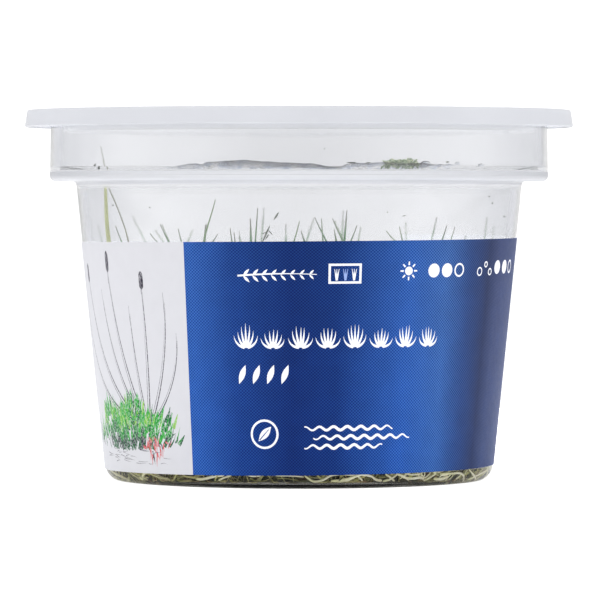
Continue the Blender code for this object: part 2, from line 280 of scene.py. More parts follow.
# The gel's edge, and the water and the scrap of leaf on the ledge
GEL_CLIMB = 0.0009
WATER_STEPS = 480
SCRAP_LENGTH = 0.0060
SCRAP_LEAFLETS = 150
LEAFLET_RADII = (0.00010, 0.00020, 0.00020, 0.00014, 0.00004)

# How strongly light bends. Where gel wets the plastic, it bends by the ratio of the two
WATER_IOR = 1.33
GEL_IOR = 1.34
WETTED_IOR = 1.03
THIN_SHEET_IOR = 1.0002
FOOT_IOR = 1.18

# Heights where the cup's materials meet: the moulded shoulder and rim are milky
BODY_SHADE_LOW = 0.0545
FADE_LOW = 0.0554
FADE_TOP = 0.0563
# The height of a painted dark line on the shoulder, for the ledge seen through it
PAINTED_LEDGE_LINE = 0.0581
MILKY_TOP = 0.0588
HAZY_TOP = 0.0591
COLLAR_MILKY_LOW = 0.0676
FOOT_TOP = LABEL_BOTTOM + 0.0008

# Colours of the plastic
CLEAR_LIGHT, CLEAR_DARK = (0.93, 0.935, 0.95, 1.0), (0.88, 0.885, 0.905, 1.0)
MILKY_LIGHT, MILKY_DARK = (0.75, 0.76, 0.795, 1.0), (0.71, 0.72, 0.755, 1.0)
# The foot's lowest edge is near-black: a painted shadow where the cup meets the floor
FOOT_SHADOW_LIGHT, FOOT_SHADOW_DARK = (0.035, 0.035, 0.028, 1.0), (0.02, 0.02, 0.016, 1.0)

# The numbers of the materials of the cup, the lid and the gel
CLEAR, MILKY, HAZY, WETTED, FOOT, FADING, MILKY_PAINTED_GLOW, PAINTED_FOOT_SHADOW, UNDER_WATER = range(9)
CENTRE_PANEL, FLANGE, PLUG, SKIRT_INSIDE = range(4)
WET_TOP, AT_THE_WALL = range(2)

# Fineness of the meshes, and the angle up to which strands look smooth
ROUND_STEPS = 224
FILLET_STEPS = 6
SUPPORT_LENGTH = 0.00015
MERGE_DISTANCE = 1e-7
STRAND_SMOOTH_DEGREES = 70.0


def link(made, slot, *nodes):
    """Puts a piece in the scene, riding on the body, in place of the CAD nodes. Its slot is not used."""
    bpy.context.scene.collection.objects.link(made)
    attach(made, "root")
    if nodes:
        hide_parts(*nodes)


def srgb(red, green, blue):
    """A linear colour from sRGB values out of 255."""
    values = []
    for value in (red, green, blue):
        share = value / 255.0
        values.append(share / 12.92 if share <= 0.04045 else ((share + 0.055) / 1.055) ** 2.4)
    return (*values, 1.0)


def body_radius(height, outside=0.0):
    """The body's outer radius at a height, moved outwards by a distance."""
    return BODY_RADIUS_AT_FOOT + BODY_TAPER * height + outside


def polar(azimuth, radius, height):
    """The point at an angle from the front, in radians, a distance from the axis and a height."""
    return Vector((math.sin(azimuth) * radius, -math.cos(azimuth) * radius, height))


def turn_degrees(place):
    """The angle of a place from the front, in degrees, that grows towards +X."""
    return math.degrees(math.atan2(place.x, -place.y))


# Shader nodes


def node(tree, kind, inputs=None, **properties):
    """Adds a shader node. An input given as a socket is linked, and any other is set."""
    made = tree.nodes.new("ShaderNode" + kind)
    for name, value in properties.items():
        setattr(made, name, value)
    for name, value in (inputs or {}).items():
        if isinstance(value, bpy.types.NodeSocket):
            tree.links.new(value, made.inputs[name])
        else:
            made.inputs[name].default_value = value
    return made


def math_node(tree, operation, first, second=0.0):
    return node(tree, "Math", {0: first, 1: second}, operation=operation).outputs[0]


def plus(tree, first, second):
    return math_node(tree, "ADD", first, second)


def scaled(tree, value, factor):
    return math_node(tree, "MULTIPLY", value, factor)


def ramp(tree, value, stops, interpolation="LINEAR"):
    """A colour ramp through (position, colour) stops. A number in place of a colour is a grey."""
    made = node(tree, "ValToRGB", {"Fac": value})
    made.color_ramp.interpolation = interpolation
    elements = made.color_ramp.elements
    while len(elements) < len(stops):
        elements.new(0.5)
    for element, (position, colour) in zip(elements, stops):
        element.position = position
        element.color = colour if isinstance(colour, tuple) else grey(colour)
    return made.outputs["Color"]


def grey(value):
    return (value, value, value, 1.0)


def colour_stops(*rows):
    """Stops for a colour ramp from rows of position, red, green and blue, in sRGB values out of 255."""
    return [(position, srgb(*colour)) for position, *colour in rows]


def span(tree, value, low, high, from_low=0.0, from_high=1.0):
    """Maps a value from one range to another."""
    inputs = {"Value": value, "From Min": from_low, "From Max": from_high, "To Min": low, "To Max": high}
    return node(tree, "MapRange", inputs).outputs["Result"]


def mix(tree, share, first, second, blend="MIX"):
    """Mixes two colours."""
    made = node(tree, "Mix", {"Factor": share}, data_type="RGBA", blend_type=blend)
    for socket, value in (("A_Color", first), ("B_Color", second)):
        target = next(item for item in made.inputs if item.identifier == socket)
        if isinstance(value, bpy.types.NodeSocket):
            tree.links.new(value, target)
        else:
            target.default_value = value
    return next(item for item in made.outputs if item.identifier == "Result_Color")


def times(tree, first, second):
    """The product of two colours."""
    return mix(tree, 1.0, first, second, "MULTIPLY")


def clouds(tree, scale, detail=2.0, stretch=None):
    """Noise in the object's own coordinates. The scale is in features per metre."""
    coordinates = node(tree, "TexCoord").outputs["Object"]
    if stretch:
        coordinates = node(tree, "Mapping", {"Vector": coordinates, "Scale": stretch}).outputs["Vector"]
    return node(tree, "TexNoise", {"Vector": coordinates, "Scale": scale, "Detail": detail}).outputs["Fac"]


def bump(tree, height, distance, strength):
    inputs = {"Height": height, "Distance": distance, "Strength": strength}
    return node(tree, "Bump", inputs).outputs["Normal"]


def spread(roughness, below=0.8, above=1.25):
    """The lowest and the highest roughness of a surface that isn't even."""
    return roughness * below, roughness * above


def outline_shade_mask(tree):
    """0 where a surface faces the eye, and 1 along its outline: the mask for painted shade."""
    return node(tree, "LayerWeight", {"Blend": 0.5}).outputs["Facing"]


def new_material(name, **values):
    """A material with a Principled shader whose sockets are set: Base_Color stands for Base Color."""
    material = bpy.data.materials.new(name)
    material.use_nodes = True
    shader = material.node_tree.nodes["Principled BSDF"]
    for socket, value in values.items():
        shader.inputs[socket.replace("_", " ")].default_value = value
    return material, material.node_tree, shader


def glow(material, colour, strength):
    """Light that shines through from behind, given as a weak light of its own. Except on the floor, this is
    painted light.
    """
    shader = material.node_tree.nodes["Principled BSDF"]
    shader.inputs["Emission Color"].default_value = colour
    shader.inputs["Emission Strength"].default_value = strength
    material.cycles.emission_sampling = "NONE"
    return material


def feed(tree, shader, **sockets):
    """Links outputs to the shader's sockets: Base_Color stands for Base Color."""
    for socket, output in sockets.items():
        tree.links.new(output, shader.inputs[socket.replace("_", " ")])


# Materials


def clear_plastic(
    name, light, dark, roughness, transmission=0.965, ior=1.49, waviness=0.5, specular=0.5, coat=0.0
):
    """Clear, slightly milky moulded plastic with soft clouds, a waviness and fine scuffs."""
    material, tree, shader = new_material(
        name, Transmission_Weight=transmission, IOR=ior, Specular_IOR_Level=specular, Coat_Weight=coat
    )
    cloud = clouds(tree, 60.0, 3.0)
    wave = clouds(tree, 110.0, 1.0, stretch=(1.0, 1.0, 0.4))
    scuff = clouds(tree, 2600.0, 2.0, stretch=(1.0, 1.0, 0.25))
    scuff_share, wave_height = 0.03, 0.00010
    feed(
        tree,
        shader,
        Base_Color=mix(tree, cloud, dark, light),
        Roughness=span(tree, cloud, *spread(roughness), 0.3, 0.7),
        Normal=bump(tree, plus(tree, wave, scaled(tree, scuff, scuff_share)), wave_height, waviness),
    )
    return material


def milky_plastic(name, light, dark, waviness=0.12):
    """Plastic with a rougher finish, which lets little light straight through."""
    return clear_plastic(name, light, dark, 0.35, transmission=0.22, waviness=waviness, specular=0.3)


def tint(material, factor):
    """Multiplies the material's colour by another."""
    tree = material.node_tree
    shader = tree.nodes["Principled BSDF"]
    colour = shader.inputs["Base Color"].links[0].from_socket
    feed(tree, shader, Base_Color=times(tree, colour, factor))


def shoulder_plastic(light, dark):
    """The milky shoulder: painted shade darkens its sides, a thin painted dark line in front stands in for
    the ledge seen through it, and painted light brightens its lower edge.
    """
    material = milky_plastic("milky_plastic", light, dark)
    tree = material.node_tree
    azimuth, height = azimuth_degrees(tree)
    # A thin painted dark line in front, for the ledge seen through the milky plastic
    painted_line_fades = 18.0, 42.0
    painted_line_in_front = span(tree, math_node(tree, "ABSOLUTE", azimuth), 1.0, 0.0, *painted_line_fades)
    painted_line_band = span(tree, height, 0.0, 1.0, PAINTED_LEDGE_LINE - 0.0004, PAINTED_LEDGE_LINE + 0.0004)
    line = ramp(tree, painted_line_band, ((0.34, 1.0), (0.46, 0.78), (0.54, 0.78), (0.66, 1.0)))
    tint(material, mix(tree, painted_line_in_front, WHITE, line))
    # Painted shade along the outline
    tint(material, mix(tree, outline_shade_mask(tree), WHITE, (0.68, 0.68, 0.69, 1.0)))
    # Painted light brightens the shoulder along its lower edge
    lower_edge_painted_light = span(tree, height, 0.0, 1.0, SHOULDER_UNDERSIDE - 0.0002, SHOULDER_UNDERSIDE + 0.0006)
    painted_light_stops = (0.0, 0.96), (0.15, 1.10), (0.35, 1.24), (0.575, 1.16), (0.8, 1.04), (1.0, 1.0)
    tint(material, ramp(tree, lower_edge_painted_light, painted_light_stops))
    return material


def under_water_plastic(light, dark):
    """Water on the inside: light passes straight through, and the gloss outside is a coat. Painted shade
    darkens the outline.
    """
    material = clear_plastic("plastic_under_water", light, dark, 0.02, ior=THIN_SHEET_IOR, coat=1.0)
    tree = material.node_tree
    # Painted shade along the outline
    tint(material, ramp(tree, outline_shade_mask(tree), ((0.60, 1.0), (0.80, 0.91))))
    return material


def fading_plastic(light, dark):
    """Clear low down and milky at the shoulder, without a border."""
    material = clear_plastic("fading_plastic", light, dark, 0.05, waviness=0.25)
    tree = material.node_tree
    milk = span(tree, azimuth_degrees(tree)[1], 0.0, 1.0, FADE_LOW, FADE_TOP)
    feed(
        tree,
        tree.nodes["Principled BSDF"],
        Transmission_Weight=span(tree, milk, 0.92, 0.30),
        Roughness=span(tree, milk, 0.04, 0.20),
    )
    return material


def azimuth_degrees(tree):
    """The angle from the front, in degrees, that grows towards +X, and the height."""
    coordinates = node(tree, "TexCoord").outputs["Object"]
    axes = node(tree, "SeparateXYZ", {"Vector": coordinates})
    angle = math_node(tree, "ARCTAN2", axes.outputs["X"], scaled(tree, axes.outputs["Y"], -1.0))
    return scaled(tree, angle, math.degrees(1.0)), axes.outputs["Z"]


def printed_film(name):
    """Satin film: the start of every printed colour."""
    material, tree, shader = new_material(name, Specular_IOR_Level=0.08)
    grain = clouds(tree, 900.0, 3.0)
    ripple_height, ripple_strength = 0.00003, 0.4
    feed(
        tree,
        shader,
        Roughness=span(tree, grain, *spread(0.42, 0.85, 1.2)),
        Normal=bump(tree, clouds(tree, 130.0, 2.0), ripple_height, ripple_strength),
    )
    return material, tree, shader


def blue_print():
    """Blue print: darker in the middle, lighter beside it, with a fine diagonal halftone. Near 60 degrees a
    painted reflection greys the blue.
    """
    material, tree, shader = printed_film("label_blue")
    azimuth, height = azimuth_degrees(tree)
    # The stops from 0.455 to 0.53, about 51 to 66 degrees, are a painted reflection that greys the blue
    stops = colour_stops(
        (0.00, 50, 92, 170), (0.055, 47, 91, 170), (0.115, 27, 63, 134), (0.19, 14, 44, 108),
        (0.25, 18, 51, 117), (0.35, 48, 92, 172), (0.41, 59, 98, 166), (0.455, 44, 70, 126),
        (0.50, 36, 50, 92), (0.53, 52, 66, 112), (0.60, 42, 62, 116), (0.75, 34, 66, 138),
        (1.00, 46, 86, 162),
    )
    base = ramp(tree, span(tree, azimuth, 0.0, 1.0, -40.0, 160.0), stops)
    dot_width, dot_height = 0.00062, 0.00057
    around = scaled(tree, azimuth, math.radians(1.0) * LABEL_MIDDLE_RADIUS * FULL_TURN / dot_width)
    upwards = scaled(tree, height, FULL_TURN / dot_height)
    rising = math_node(tree, "SINE", plus(tree, around, upwards))
    falling = math_node(tree, "SINE", math_node(tree, "SUBTRACT", around, upwards))
    screen = plus(tree, rising, falling)
    strengths = (0.03, 2.1), (0.28, 1.70), (0.55, 1.32)
    dots = [span(tree, screen, low, high, -1.6, 1.6) for low, high in strengths]
    tone = node(tree, "CombineColor", dict(zip(("Red", "Green", "Blue"), dots))).outputs[0]
    patches = ramp(tree, clouds(tree, 240.0, 3.0), ((0.3, 0.85), (0.7, 0.97)))
    upwards_share = span(tree, height, 0.0, 1.0, 0.008, 0.042)
    deeper = mix(tree, upwards_share, (0.78, 1.0, 1.12, 1.0), (0.95, 1.0, 1.02, 1.0))
    feed(tree, shader, Base_Color=times(tree, times(tree, times(tree, base, deeper), patches), tone))
    return material


def print_colour(name, colour, variation=0.06):
    """One printed colour with a faint unevenness."""
    material, tree, shader = printed_film(name)
    darker = tuple(channel * (1.0 - variation) for channel in colour[:3]) + (1.0,)
    feed(tree, shader, Base_Color=mix(tree, clouds(tree, 420.0, 4.0), darker, colour))
    return material


def pencil_colour(name, colour):
    """Coloured pencil: the paper shows through a fine grain."""
    material, tree, shader = printed_film(name)
    grain = ramp(tree, clouds(tree, 2600.0, 3.0), ((0.46, 0.0), (0.68, 0.5)))
    feed(tree, shader, Base_Color=mix(tree, grain, colour, srgb(209, 209, 214)))
    return material


def gel_material(name, ior, dark, light, ripple_height):
    """Wet gel. Where it touches the plastic, its index is the ratio of the two."""
    material, tree, shader = new_material(name, Transmission_Weight=1.0, IOR=ior, Roughness=0.02)
    feed(
        tree,
        shader,
        Base_Color=mix(tree, clouds(tree, 160.0, 4.0), dark, light),
        Normal=bump(tree, clouds(tree, 420.0, 3.0), ripple_height, 0.5),
    )
    return material


def root_core_and_shade_material():
    """Dark matted old roots and leaves with tan, olive and brown patches. Its near-black is partly painted
    shade inside the mat.
    """
    material, tree, shader = new_material("root_mat", Roughness=0.6)
    stops = colour_stops(
        (0.30, 18, 19, 12), (0.44, 44, 45, 30), (0.53, 76, 76, 50), (0.62, 94, 66, 50), (0.74, 120, 122, 78)
    )
    lump_height, lump_strength = 0.0004, 0.8
    feed(
        tree,
        shader,
        Base_Color=ramp(tree, clouds(tree, 330.0, 4.0), stops),
        Roughness=span(tree, clouds(tree, 700.0), 0.35, 0.75),
        Normal=bump(tree, clouds(tree, 1500.0, 5.0), lump_height, lump_strength),
    )
    return material


def strand_material(name, run, other_colour, dark_colour, roughness):
    """Plant tissue: the colour runs from base to tip, and each strand has its own shade."""
    material, tree, shader = new_material(name)
    along = node(tree, "Attribute", attribute_name="along").outputs["Fac"]
    own = node(tree, "Attribute", attribute_name="shade").outputs["Fac"]
    streaks = clouds(tree, 900.0, 3.0, stretch=(1.0, 1.0, 0.12))
    tinted = mix(tree, own, ramp(tree, along, colour_stops(*run)), srgb(*other_colour))
    groove_depth, groove_strength = 0.00006, 0.5
    feed(
        tree,
        shader,
        Base_Color=mix(tree, span(tree, streaks, 0.0, 0.45, 0.45, 0.75), tinted, srgb(*dark_colour)),
        Roughness=span(tree, streaks, *spread(roughness)),
        Normal=bump(tree, streaks, groove_depth, groove_strength),
    )
    return material


def grass_material():
    run = (
        (0.00, 214, 216, 178), (0.10, 170, 190, 116), (0.30, 96, 152, 78),
        (0.84, 104, 166, 112), (0.92, 148, 162, 144), (1.00, 172, 162, 166),
    )
    return strand_material("grass", run, (146, 178, 108), (66, 110, 66), 0.42)


def old_grass_material():
    run = (0.00, 196, 198, 150), (0.25, 206, 214, 112), (0.92, 226, 232, 138), (1.00, 196, 202, 116)
    material = strand_material("old_grass", run, (120, 118, 114), (128, 134, 62), 0.4)
    # Painted light: a faint yellow-green glow
    return glow(material, (0.80, 0.86, 0.40, 1.0), 0.12)


def runner_material():
    run = (0.00, 240, 240, 184), (0.50, 253, 252, 232), (1.00, 246, 238, 206)
    material = strand_material("runners", run, (150, 150, 78), (206, 188, 146), 0.25)
    # Painted light: a faint cream glow
    return glow(material, (1.0, 0.93, 0.68, 1.0), 0.07)


def root_material():
    run = (0.00, 196, 196, 122), (0.50, 226, 216, 154), (1.00, 160, 122, 92)
    return strand_material("roots", run, (54, 60, 34), (50, 42, 30), 0.35)


def water_material():
    """A thin film: light passes almost straight through it, and in front its gloss is a coat. Its tint is
    painted shade and light: grey lobes with dark vein lines, and a darker top edge over a lighter foot.
    """
    film = {"Transmission_Weight": 1.0, "IOR": THIN_SHEET_IOR, "Roughness": 0.0}
    material, tree, shader = new_material("water", **film, Coat_Weight=0.5, Coat_IOR=WATER_IOR)
    azimuth, height = azimuth_degrees(tree)
    # Painted shade: grey lobes in front, darker at their outlines, fading to white low down
    share = span(tree, azimuth, 0.0, 1.0, -60.0, 60.0)
    deepest_painted_shade = (0.70, 0.75, 0.86, 1.0)
    painted_lobe_shade = ramp(tree, share, ((0.20, 0.985), (0.30, deepest_painted_shade), (0.78, deepest_painted_shade), (0.84, 0.985)))
    around_stops = (
        (0.22, 0.99), (0.26, 0.86), (0.31, 0.80), (0.36, 0.58), (0.56, 0.50),
        (0.60, 0.84), (0.72, 0.86), (0.745, 0.52), (0.77, 0.94), (0.82, 0.98),
    )
    low_down = span(tree, height, 1.0, 0.0, 0.0590, 0.0594)
    depth = mix(tree, low_down, ramp(tree, share, around_stops), WHITE)
    patches = span(tree, clouds(tree, 500.0, 3.0), 0.0, 1.0, 0.44, 0.56)
    lobes = mix(tree, patches, times(tree, depth, painted_lobe_shade), depth)
    # Painted dark vein lines in the lobes
    painted_dark_veins = ramp(tree, clouds(tree, 900.0, 1.0), ((0.455, 1.0), (0.49, 0.40), (0.525, 1.0)))
    # Painted shade along the top of the climbing edge, and painted light below it
    rise = node(tree, "Attribute", attribute_name="rise").outputs["Fac"]
    edge = ramp(tree, rise, ((0.0, 1.30), (0.55, 1.25), (0.80, 0.90), (1.0, 0.60)))
    in_lobes = span(tree, node(tree, "RGBToBW", {"Color": painted_lobe_shade}).outputs[0], 1.0, 0.0, 0.76, 0.95)
    feed(
        tree,
        shader,
        Base_Color=mix(tree, in_lobes, lobes, times(tree, times(tree, lobes, painted_dark_veins), edge)),
        Coat_Weight=span(tree, math_node(tree, "ABSOLUTE", azimuth), 0.5, 0.0, 36.0, 48.0),
        Normal=bump(tree, clouds(tree, 600.0, 2.0), 0.00005, 0.4),
    )
    return material


def speckled_leaf(name, *colours):
    """Damp torn leaf in three colours, from dark to light, in fine speckles."""
    material, tree, shader = new_material(name, Roughness=0.5)
    stops = [(place, srgb(*colour)) for place, colour in zip((0.36, 0.48, 0.60), colours)]
    colour = ramp(tree, clouds(tree, 1500.0, 3.0), stops)
    feed(tree, shader, Base_Color=colour, Normal=bump(tree, clouds(tree, 4000.0, 3.0), 0.0001, 0.7))
    return material


def scrap_material():
    material = speckled_leaf("leaf_scrap", (96, 126, 92), (150, 176, 130), (228, 232, 200))
    # Painted light: a faint green glow
    return glow(material, (0.70, 0.80, 0.58, 1.0), 0.12)


def fleck_material():
    return speckled_leaf("wall_flecks", (70, 84, 70), (96, 108, 92), (130, 138, 122))


# Camera, light and floor


def add_camera():
    """The camera stands level with the ledge, far off, and looks slightly down."""
    data = bpy.data.cameras.new("camera")
    camera = bpy.data.objects.new("camera", data)
    bpy.context.scene.collection.objects.link(camera)
    camera.location = (EYE_SIDE, -EYE_DISTANCE, EYE_HEIGHT)
    aim = Vector((EYE_SIDE, 0.0, AIM_HEIGHT)) - camera.location
    camera.rotation_euler = aim.to_track_quat("-Z", "Y").to_euler()
    data.sensor_width = SENSOR_WIDTH
    data.lens = SENSOR_WIDTH * aim.length / VIEW_WIDTH
    data.clip_start = 0.01
    data.clip_end = 20.0
    bpy.context.scene.camera = camera


def add_world():
    """A soft studio: white behind, grey at the corners, brighter at the sides and overhead."""
    world = bpy.data.worlds.new("studio")
    bpy.context.scene.world = world
    world.use_nodes = True
    tree = world.node_tree
    axes = node(tree, "SeparateXYZ", {"Vector": node(tree, "TexCoord").outputs["Generated"]})
    across = math_node(tree, "ABSOLUTE", axes.outputs["X"])
    turn = math_node(tree, "DIVIDE", math_node(tree, "ARCTAN2", across, axes.outputs["Y"]), math.pi)
    around_stops = (
        (0.000, 0.84), (0.022, 0.94), (0.034, 0.90), (0.052, 0.84), (0.100, 0.78),
        (0.150, (0.72, 0.73, 0.76, 1.0)), (0.34, (0.73, 0.74, 0.77, 1.0)),
        (0.50, 0.98), (0.72, 0.95), (0.88, 0.72), (1.00, 0.68),
    )
    around = ramp(tree, turn, around_stops, "EASE")
    overhead = ramp(tree, axes.outputs["Z"], ((0.0, 0.0), (0.45, 0.0), (0.80, 1.0)), "EASE")
    boost = plus(tree, STUDIO_STRENGTH, scaled(tree, overhead, OVERHEAD_STRENGTH))
    seen = node(tree, "LightPath").outputs["Is Camera Ray"]
    colour = mix(tree, seen, mix(tree, overhead, around, WHITE), WHITE)
    strength = math_node(tree, "MAXIMUM", boost, scaled(tree, seen, BACKDROP_STRENGTH))
    background = tree.nodes["Background"]
    tree.links.new(colour, background.inputs["Color"])
    tree.links.new(strength, background.inputs["Strength"])
    bpy.context.scene.view_settings.view_transform = "Standard"


def add_floor():
    """A pale floor that shines a little, so that it looks as white as the backdrop."""
    mesh = bpy.data.meshes.new("floor")
    half = FLOOR_SIDE / 2.0
    corners = [(-half, -half), (half, -half), (half, half), (-half, half)]
    mesh.from_pydata([(x, y, -FLOOR_DROP) for x, y in corners], [], [(0, 1, 2, 3)])
    floor = bpy.data.objects.new("floor", mesh)
    bpy.context.scene.collection.objects.link(floor)
    material, tree, shader = new_material("floor", Roughness=0.9, Specular_IOR_Level=0.1)
    seen = node(tree, "LightPath").outputs["Is Camera Ray"]
    glow(material, WHITE, FLOOR_GLOW)
    feed(
        tree,
        shader,
        Base_Color=mix(tree, clouds(tree, 40.0), grey(0.95), grey(0.97)),
        Emission_Strength=span(tree, seen, FLOOR_GLOW, FLOOR_GLOW_SEEN),
    )
    mesh.materials.append(material)


# Turned pieces


def rounded(corners):
    """An outline in the (radius, height) plane: each corner is (radius, height, rounding)."""
    points = []
    for index, (radius, height, rounding) in enumerate(corners):
        here = Vector((radius, height))
        if not rounding:
            points.append(here)
            continue
        before = Vector(corners[index - 1][:2]) - here
        after = Vector(corners[index + 1][:2]) - here
        half = before.angle(after) / 2.0
        tangent = rounding / math.tan(half)
        before.normalize()
        after.normalize()
        centre = here + (before + after).normalized() * rounding / math.sin(half)
        start = here + before * tangent - centre
        end = here + after * tangent - centre
        sweep = start.angle(end)
        points.append(centre + start + before * SUPPORT_LENGTH)
        for step in range(FILLET_STEPS + 1):
            share = step / FILLET_STEPS
            weights = math.sin((1.0 - share) * sweep), math.sin(share * sweep)
            points.append(centre + (start * weights[0] + end * weights[1]) / math.sin(sweep))
        points.append(centre + end + after * SUPPORT_LENGTH)
    return points


def lathe(points, steps=ROUND_STEPS, closed=False):
    """Spins an outline of (radius, height) points about Z. A closed outline doesn't reach the axis."""
    mesh_tool = bmesh.new()
    corners = [mesh_tool.verts.new((0.0, radius, height)) for radius, height in points]
    edges = [mesh_tool.edges.new(pair) for pair in zip(corners, corners[1:])]
    if closed:
        edges.append(mesh_tool.edges.new((corners[-1], corners[0])))
    bmesh.ops.spin(
        mesh_tool,
        geom=corners + edges,
        cent=(0.0, 0.0, 0.0),
        axis=(0.0, 0.0, 1.0),
        angle=FULL_TURN,
        steps=steps,
        use_merge=True,
    )
    bmesh.ops.remove_doubles(mesh_tool, verts=mesh_tool.verts, dist=MERGE_DISTANCE)
    return mesh_tool


def finish_mesh(name, mesh_tool, materials, smooth_degrees=40.0, zone=None):
    """Turns a bmesh into an object with outward faces and smooth shading.

    The zone function gives the number of a face's material from its radius and height.
    """
    mesh_tool.normal_update()
    bmesh.ops.recalc_face_normals(mesh_tool, faces=mesh_tool.faces)
    if zone:
        for face in mesh_tool.faces:
            middle = face.calc_center_median()
            face.material_index = zone(middle.xy.length, middle.z)
    mesh = bpy.data.meshes.new(name)
    mesh_tool.to_mesh(mesh)
    mesh_tool.free()
    for material in materials:
        mesh.materials.append(material)
    mesh.shade_smooth()
    mesh.set_sharp_from_angle(angle=math.radians(smooth_degrees))
    return bpy.data.objects.new(name, mesh)


def collar_radius(height):
    """The collar's outer radius at a height."""
    share = (height - SHOULDER_UNDERSIDE) / (RIM_TOP - LIP_THICKNESS - SHOULDER_UNDERSIDE)
    return COLLAR_RADIUS_LOW + (COLLAR_RADIUS_HIGH - COLLAR_RADIUS_LOW) * share


def add_cup(materials):
    """The cup. Extra points on its walls part the zones of its materials."""
    collar_inner_high = COLLAR_RADIUS_HIGH - COLLAR_WALL
    collar_inner_low = COLLAR_RADIUS_LOW - COLLAR_WALL
    gel_line = GEL_TOP + GEL_CLIMB
    outline = rounded(
        (
            (0.0, FOOT_RECESS, 0.0),
            (FOOT_RING_INNER - FOOT_RING_SLOPE, FOOT_RECESS, FINE_ROUNDING),
            (FOOT_RING_INNER, 0.0, FINE_ROUNDING),
            (body_radius(0.0), 0.0, FOOT_ROUNDING),
            (body_radius(BODY_SHADE_LOW), BODY_SHADE_LOW, 0.0),
            (body_radius(SHOULDER_UNDERSIDE), SHOULDER_UNDERSIDE, 0.0007),
            (COLLAR_RADIUS_LOW, SHOULDER_UNDERSIDE, 0.0011),
            (collar_radius(MILKY_TOP), MILKY_TOP, 0.0),
            (collar_radius(HAZY_TOP), HAZY_TOP, 0.0),
            (collar_radius(WATER_LEVEL), WATER_LEVEL, 0.0),
            (collar_radius(COLLAR_MILKY_LOW), COLLAR_MILKY_LOW, 0.0),
            (COLLAR_RADIUS_HIGH, RIM_TOP - LIP_THICKNESS, RIM_ROUNDING),
            (LIP_RADIUS, RIM_TOP - LIP_THICKNESS, FINE_ROUNDING),
            (LIP_RADIUS, RIM_TOP, RIM_ROUNDING),
            (collar_inner_high, RIM_TOP, RIM_ROUNDING),
            (collar_radius(WATER_LEVEL) - COLLAR_WALL, WATER_LEVEL, 0.0),
            (collar_inner_low, LEDGE_TOP, 0.0008),
            (body_radius(LEDGE_TOP, -WALL), LEDGE_TOP, 0.0006),
            (body_radius(gel_line, -WALL), gel_line, 0.0),
            (body_radius(FLOOR_TOP, -WALL), FLOOR_TOP, FLOOR_CORNER),
            (0.0, FLOOR_TOP, 0.0),
        )
    )

    def collar_zone(height):
        """The collar's outside is milky low down and at the rim, and clear between them."""
        if height > COLLAR_MILKY_LOW:
            return MILKY_PAINTED_GLOW
        if height < MILKY_TOP:
            return MILKY
        if height < HAZY_TOP:
            return HAZY
        return UNDER_WATER if height < WATER_LEVEL else CLEAR

    def zone(radius, height):
        """Walls are clear, the shoulder and rim are milky outside, and gel wets the inside."""
        if radius > collar_inner_low + RIM_ROUNDING:
            return collar_zone(height)
        outside = radius > body_radius(height, -WALL / 2.0)
        if outside and LEDGE_TOP - 0.0004 < height < WATER_LEVEL:
            return UNDER_WATER
        if outside and height > FADE_TOP:
            return MILKY if height < LEDGE_TOP else CLEAR
        if outside and height > BODY_SHADE_LOW:
            return FADING
        # Painted shadow on the foot's lowest edge
        if outside and height < FOOT_SHADOW_TOP and radius > body_radius(0.0) - FOOT_ROUNDING:
            return PAINTED_FOOT_SHADOW
        if outside:
            return FOOT if height < FOOT_TOP else CLEAR
        if height < FLOOR_TOP:
            return WETTED if height > FLOOR_TOP - 0.0001 else FOOT
        return WETTED if height < gel_line else CLEAR

    made = finish_mesh("cup_clear", lathe(outline), materials, zone=zone)
    link(made, "clear_plastic", "cup")


def add_lid(materials):
    """The lid, with a round bead on its sunk centre panel."""
    plug_outer = COLLAR_RADIUS_HIGH - COLLAR_WALL - GAP
    plug_inner = plug_outer - PLUG_THICKNESS
    flange_underside = RIM_TOP + GAP
    outline = rounded(
        (
            (0.0, PANEL_TOP, 0.0),
            (BEAD_RADIUS, PANEL_TOP, FINE_ROUNDING),
            (BEAD_RADIUS + BEAD_HEIGHT, PANEL_TOP + BEAD_HEIGHT, FINE_ROUNDING),
            (BEAD_RADIUS + BEAD_WIDTH - BEAD_HEIGHT, PANEL_TOP + BEAD_HEIGHT, FINE_ROUNDING),
            (BEAD_RADIUS + BEAD_WIDTH, PANEL_TOP, FINE_ROUNDING),
            (plug_inner, PANEL_TOP, 0.0008),
            (plug_inner, LID_TOP, RIM_ROUNDING),
            (SKIRT_RADIUS_HIGH, LID_TOP, RIM_ROUNDING),
            (SKIRT_RADIUS_LOW, SKIRT_BOTTOM, FINE_ROUNDING),
            (SKIRT_RADIUS_LOW - SKIRT_THICKNESS, SKIRT_BOTTOM, FINE_ROUNDING),
            (SKIRT_RADIUS_HIGH - SKIRT_THICKNESS + GAP, flange_underside, RIM_ROUNDING),
            (plug_outer, flange_underside, FINE_ROUNDING),
            (plug_outer, PLUG_BOTTOM, 0.0006),
            (plug_inner - 0.0004, PLUG_BOTTOM, FINE_ROUNDING),
            (plug_inner - 0.0010, PANEL_TOP - PANEL_THICKNESS, 0.0002),
            (0.0, PANEL_TOP - PANEL_THICKNESS, 0.0),
        )
    )
    below_top = LID_TOP - 0.0006
    skirt_inner = SKIRT_RADIUS_LOW - SKIRT_THICKNESS + 0.00015
    flange_start = plug_outer + 0.0001

    def zone(radius, height):
        """The centre panel is clear, the plug fits the cup closely, and the flange and skirt are milky."""
        if flange_start < radius < skirt_inner and SKIRT_BOTTOM + 0.0002 < height < below_top:
            return SKIRT_INSIDE
        if radius > flange_start:
            return FLANGE
        return PLUG if radius > plug_inner - 0.0012 and height < below_top else CENTRE_PANEL

    made = finish_mesh("lid_clear", lathe(outline), materials, zone=zone)
    link(made, "clear_plastic", "lid")


# Label: the print is drawn flat, cut into one mesh, and wrapped on the cone

